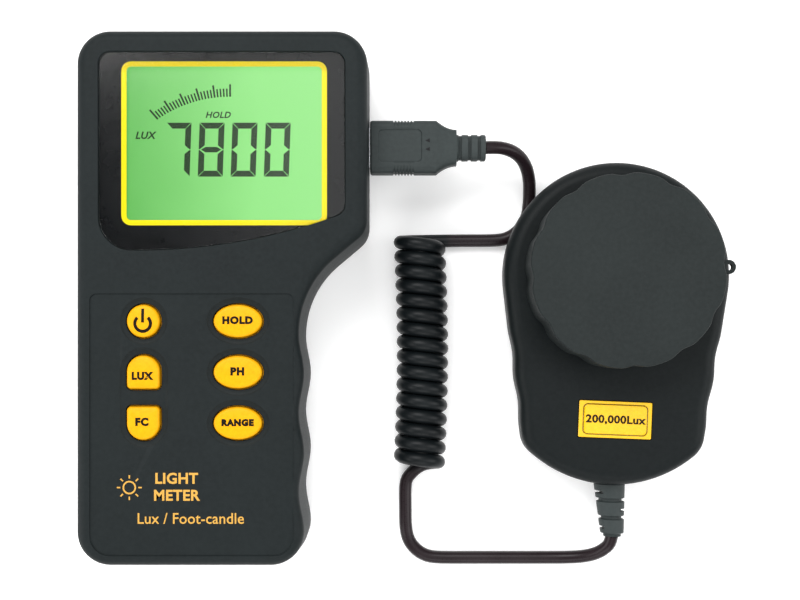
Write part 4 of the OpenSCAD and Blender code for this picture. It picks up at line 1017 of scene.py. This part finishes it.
dome = revolved("dome", [(DOME_R, DOME_FOOT)] + dome_arc(sphere_r, DOME_R, range(DOME_STEPS, 0, -1))
                + [(0.05, DOME_TOP), (0.05, DOME_TOP - DOME_T)]
                + dome_arc(sphere_r - DOME_T, DOME_R - DOME_T, range(1, DOME_STEPS + 1))
                + [(DOME_R - DOME_T, DOME_FOOT)])
finished(dome, "sensor", "diffuser_white", "diffuser_dome")


def make_cap():
    """The cap: a scalloped cup with a pierced ear for a tether."""
    base_z, bore_r, hole_r = HEAD_H + 0.08, 25.73, 1.0
    levels = [(base_z, 0.3), (base_z + 0.15, 0.1), (19.5, 0.0)] + edge_rings(CAP_TOP, 0.6, 0.0, 8)
    cap = solid("lens_cap", [(z, cap_outline(inset)) for z, inset in levels])
    c, s = cosd(EAR_TURN), sind(EAR_TURN)

    def ear(pts):
        return [(a * c - b * s, a * s + b * c) for a, b in pts]

    stalk = ear(box_pts(26.8, -1.5, EAR_X, 1.5))
    eye = ((19.6, 2.0), (19.75, 2.15), (21.4, 2.15), (21.6, 1.95))
    combine(cap, [tool([(19.6, stalk), (21.6, stalk)]),
                  tool([(z, ear(disc(EAR_X, 0, r))) for z, r in eye])], "UNION")
    combine(cap, [tool([(z, disc(0, 0, bore_r, 128)) for z in (18.0, 34.8)]),
                  tool([(z, ear(disc(EAR_X, 0, hole_r))) for z in (19.0, 22.2)])], "DIFFERENCE")
    in_head(cap)
    smooth(cap, 30)
    finished(cap, "cap", "cap_plastic", "sensor_cap")


make_cap()


def make_relief():
    """The ribbed rubber sleeve at the tail, with a notch through each rib."""
    bm = bmesh.new()
    start = -52.6
    outside = start - 11.2
    collar_r, stem_r, root_r, tip_r, end_r, groove, notch_w = 5.2, 4.3, 4.8, 3.55, 2.45, 0.9, 0.9
    seg = SLEEVE_L / SLEEVE_RIBS

    def bend(y):
        """How far the sleeve's middle has moved sideways at y."""
        return -0.45 + 1.3 * (outside - y) / SLEEVE_L

    def circle(y, r):
        x = SLEEVE_X + (0.0 if y > outside + 0.01 else bend(y))
        return [(x + r * cosd(a), y, SLEEVE_Z + r * sind(a)) for a in range(0, 360, 6)]

    rings = [circle(start, collar_r), circle(start - 1.6, collar_r), circle(start - 1.6, stem_r),
             circle(outside, stem_r)]
    for i in range(SLEEVE_RIBS):
        r_in = root_r + (tip_r - root_r) * (seg * i) / SLEEVE_L
        r_out = root_r + (tip_r - root_r) * (seg * i + seg - 1) / SLEEVE_L
        y = outside - seg * i
        rings += [circle(y, r_in - 0.25), circle(y - 0.2, r_in), circle(y - seg + 1.2, r_out),
                  circle(y - seg + 1.0, r_out - 0.25), circle(y - seg + 0.98, r_out - groove),
                  circle(y - seg + 0.02, r_out - groove)]
    rings.append(circle(outside - SLEEVE_L, end_r))
    loft(bm, rings)
    sleeve = new_object("tail_sleeve", bm, 32)
    notches = bmesh.new()
    for i in range(SLEEVE_RIBS):  # the ribs are cut through on alternate sides, so the sleeve bends
        y = outside - seg * i - 2.6
        side = 1 if i % 2 else -1
        near, far = sorted(SLEEVE_X + bend(y) + side * reach for reach in (2.6, 6.0))
        notch = box_pts(near, y - notch_w / 2, far, y + notch_w / 2)
        prism(notches, notch, SLEEVE_Z - 6, SLEEVE_Z + 6)
    combine(sleeve, [notches], "DIFFERENCE")
    in_head(sleeve)
    smooth(sleeve, 32)
    finished(sleeve, "sensor", "plug_rubber", "cord_relief")


make_relief()

# range label: a domed resin badge with a printed border and its measuring range
LABEL_TOP = 19.6
badge_levels = ((18.7, (-0.02,)), (19.15, ()), (19.24, (-0.1,)), (19.26, (0, 1.2, 0.85, 1.5)),
                (19.4, (0, 1.3, 0.95, 1.4)), (19.5, (0, 1.6, 1.25, 1.2)), (19.56, (0, 2.2, 1.8, 0.9)),
                (LABEL_TOP, (0, 4.5, 3.2, 0.4)))
badge = solid("range_badge", [(z, label_pts(*shape)) for z, shape in badge_levels], 40)
in_head(badge)
finished(badge, "sensor", "label_gold", "range_label")
bm = bmesh.new()
# four loops round the border line's section: low outer, low inner, top inner, top outer
outer_line, inner_line = label_pts(0.0, 1.15, 0.8, 1.55), label_pts(0.0, 1.5, 1.15, 1.2)
corners = ((LABEL_TOP, outer_line), (LABEL_TOP, inner_line), (LABEL_TOP + 0.02, inner_line),
           (LABEL_TOP + 0.02, outer_line))
loops = [[bm.verts.new(Vector((a, b, z)) * MM) for a, b in line] for z, line in corners]
for a, b in zip(loops, loops[1:] + loops[:1]):
    for i in range(len(a)):
        bm.faces.new((a[i - 1], a[i], b[i], b[i - 1]))
border = new_object("border", bm, 30, False)
words = lettering("value", "200,000Lux", 3.25, 0, 0, LABEL_TOP, 0.12, 0, 1.06, 1.1)
c, s = cosd(LABEL_TURN), sind(LABEL_TURN)
for v in words.data.vertices:
    a, b = v.co.x, v.co.y
    v.co.x, v.co.y = a * c + b * s, b * c - a * s + LABEL_Y * MM
badge_print = in_head(join("badge_print", [border, words]))
lay_on(badge_print, badge, 0.01)
stand_for(paint(badge_print, LABEL_INK), "sensor", "")

# --- floor, light and background
bm = bmesh.new()
FLOOR_LINES = (-3.0, -1, 0, 1, 3.0)
verts = [[bm.verts.new((x, y, 0.0)) for y in FLOOR_LINES] for x in FLOOR_LINES]
for a, b in zip(verts, verts[1:]):
    for i in range(len(a) - 1):
        bm.faces.new((a[i], b[i], b[i + 1], a[i + 1]))
floor = new_object("floor", bm, 30, False)
n = Nodes("floor_look")
speck = n.noise(40.0, 3.0)
shader = n.add("ShaderNodeBsdfPrincipled")
pale, paler = linear((247, 247, 247)), linear((250, 250, 250))
n.set(shader.inputs["Base Color"], n.mix(n.spread(speck, 0, 1), pale, paler))
shader.inputs["Roughness"].default_value = 0.9
shader.inputs["Emission Color"].default_value = (1, 1, 1, 1)
shader.inputs["Emission Strength"].default_value = 0.22
paint(floor, n.finish(shader.outputs[0]))


def softbox(name, place, width, height, power):
    """A soft rectangular light aimed at the middle of the object."""
    data = bpy.data.lights.new(name, "AREA")
    data.shape, data.size, data.size_y, data.energy = "RECTANGLE", width, height, power
    obj = bpy.data.objects.new(name, data)
    obj.location = place
    obj.rotation_euler = (Vector((0.05, 0, 0)) - Vector(place)).to_track_quat("-Z", "Y").to_euler()
    scene.collection.objects.link(obj)


softbox("overhead", (-0.25, 0.75, 1.15), 0.9, 0.7, 13)
softbox("right_fill", (1.3, -0.1, 0.9), 0.8, 1.0, 9)
softbox("left_fill", (-1.2, -0.3, 0.8), 0.8, 1.0, 9)
softbox("near_fill", (0.05, -1.2, 0.9), 1.2, 0.6, 7)

world = bpy.data.worlds.new("studio")
world.use_nodes = True
tree = world.node_tree
tree.nodes.clear()
w_out, w_back, w_place, w_split, w_over, w_side, w_mix = (
    tree.nodes.new(f"ShaderNode{kind}") for kind in
    ("OutputWorld", "Background", "TexCoord", "SeparateXYZ", "MapRange", "MapRange", "Mix"))
w_back.inputs["Color"].default_value = (1, 1, 1, 1)
# straight up the sky is dark towards the left and pale towards the right, as the lens reflects it
tree.links.new(w_place.outputs["Generated"], w_split.inputs[0])
tree.links.new(w_split.outputs["Z"], w_over.inputs["Value"])
tree.links.new(w_split.outputs["X"], w_side.inputs["Value"])
w_over.interpolation_type = w_side.interpolation_type = "SMOOTHSTEP"
for node, values in ((w_over, (0.80, 0.93, 0.0, 1.0)), (w_side, (-0.22, 0.02, 0.02, 1.6))):
    for key, value in zip(("From Min", "From Max", "To Min", "To Max"), values):
        node.inputs[key].default_value = value
tree.links.new(w_over.outputs["Result"], w_mix.inputs["Factor"])
w_mix.inputs["A"].default_value = 0.6
tree.links.new(w_side.outputs["Result"], w_mix.inputs["B"])
tree.links.new(w_mix.outputs["Result"], w_back.inputs["Strength"])
tree.links.new(w_back.outputs[0], w_out.inputs["Surface"])
scene.world = world
scene.view_settings.view_transform = "Standard"
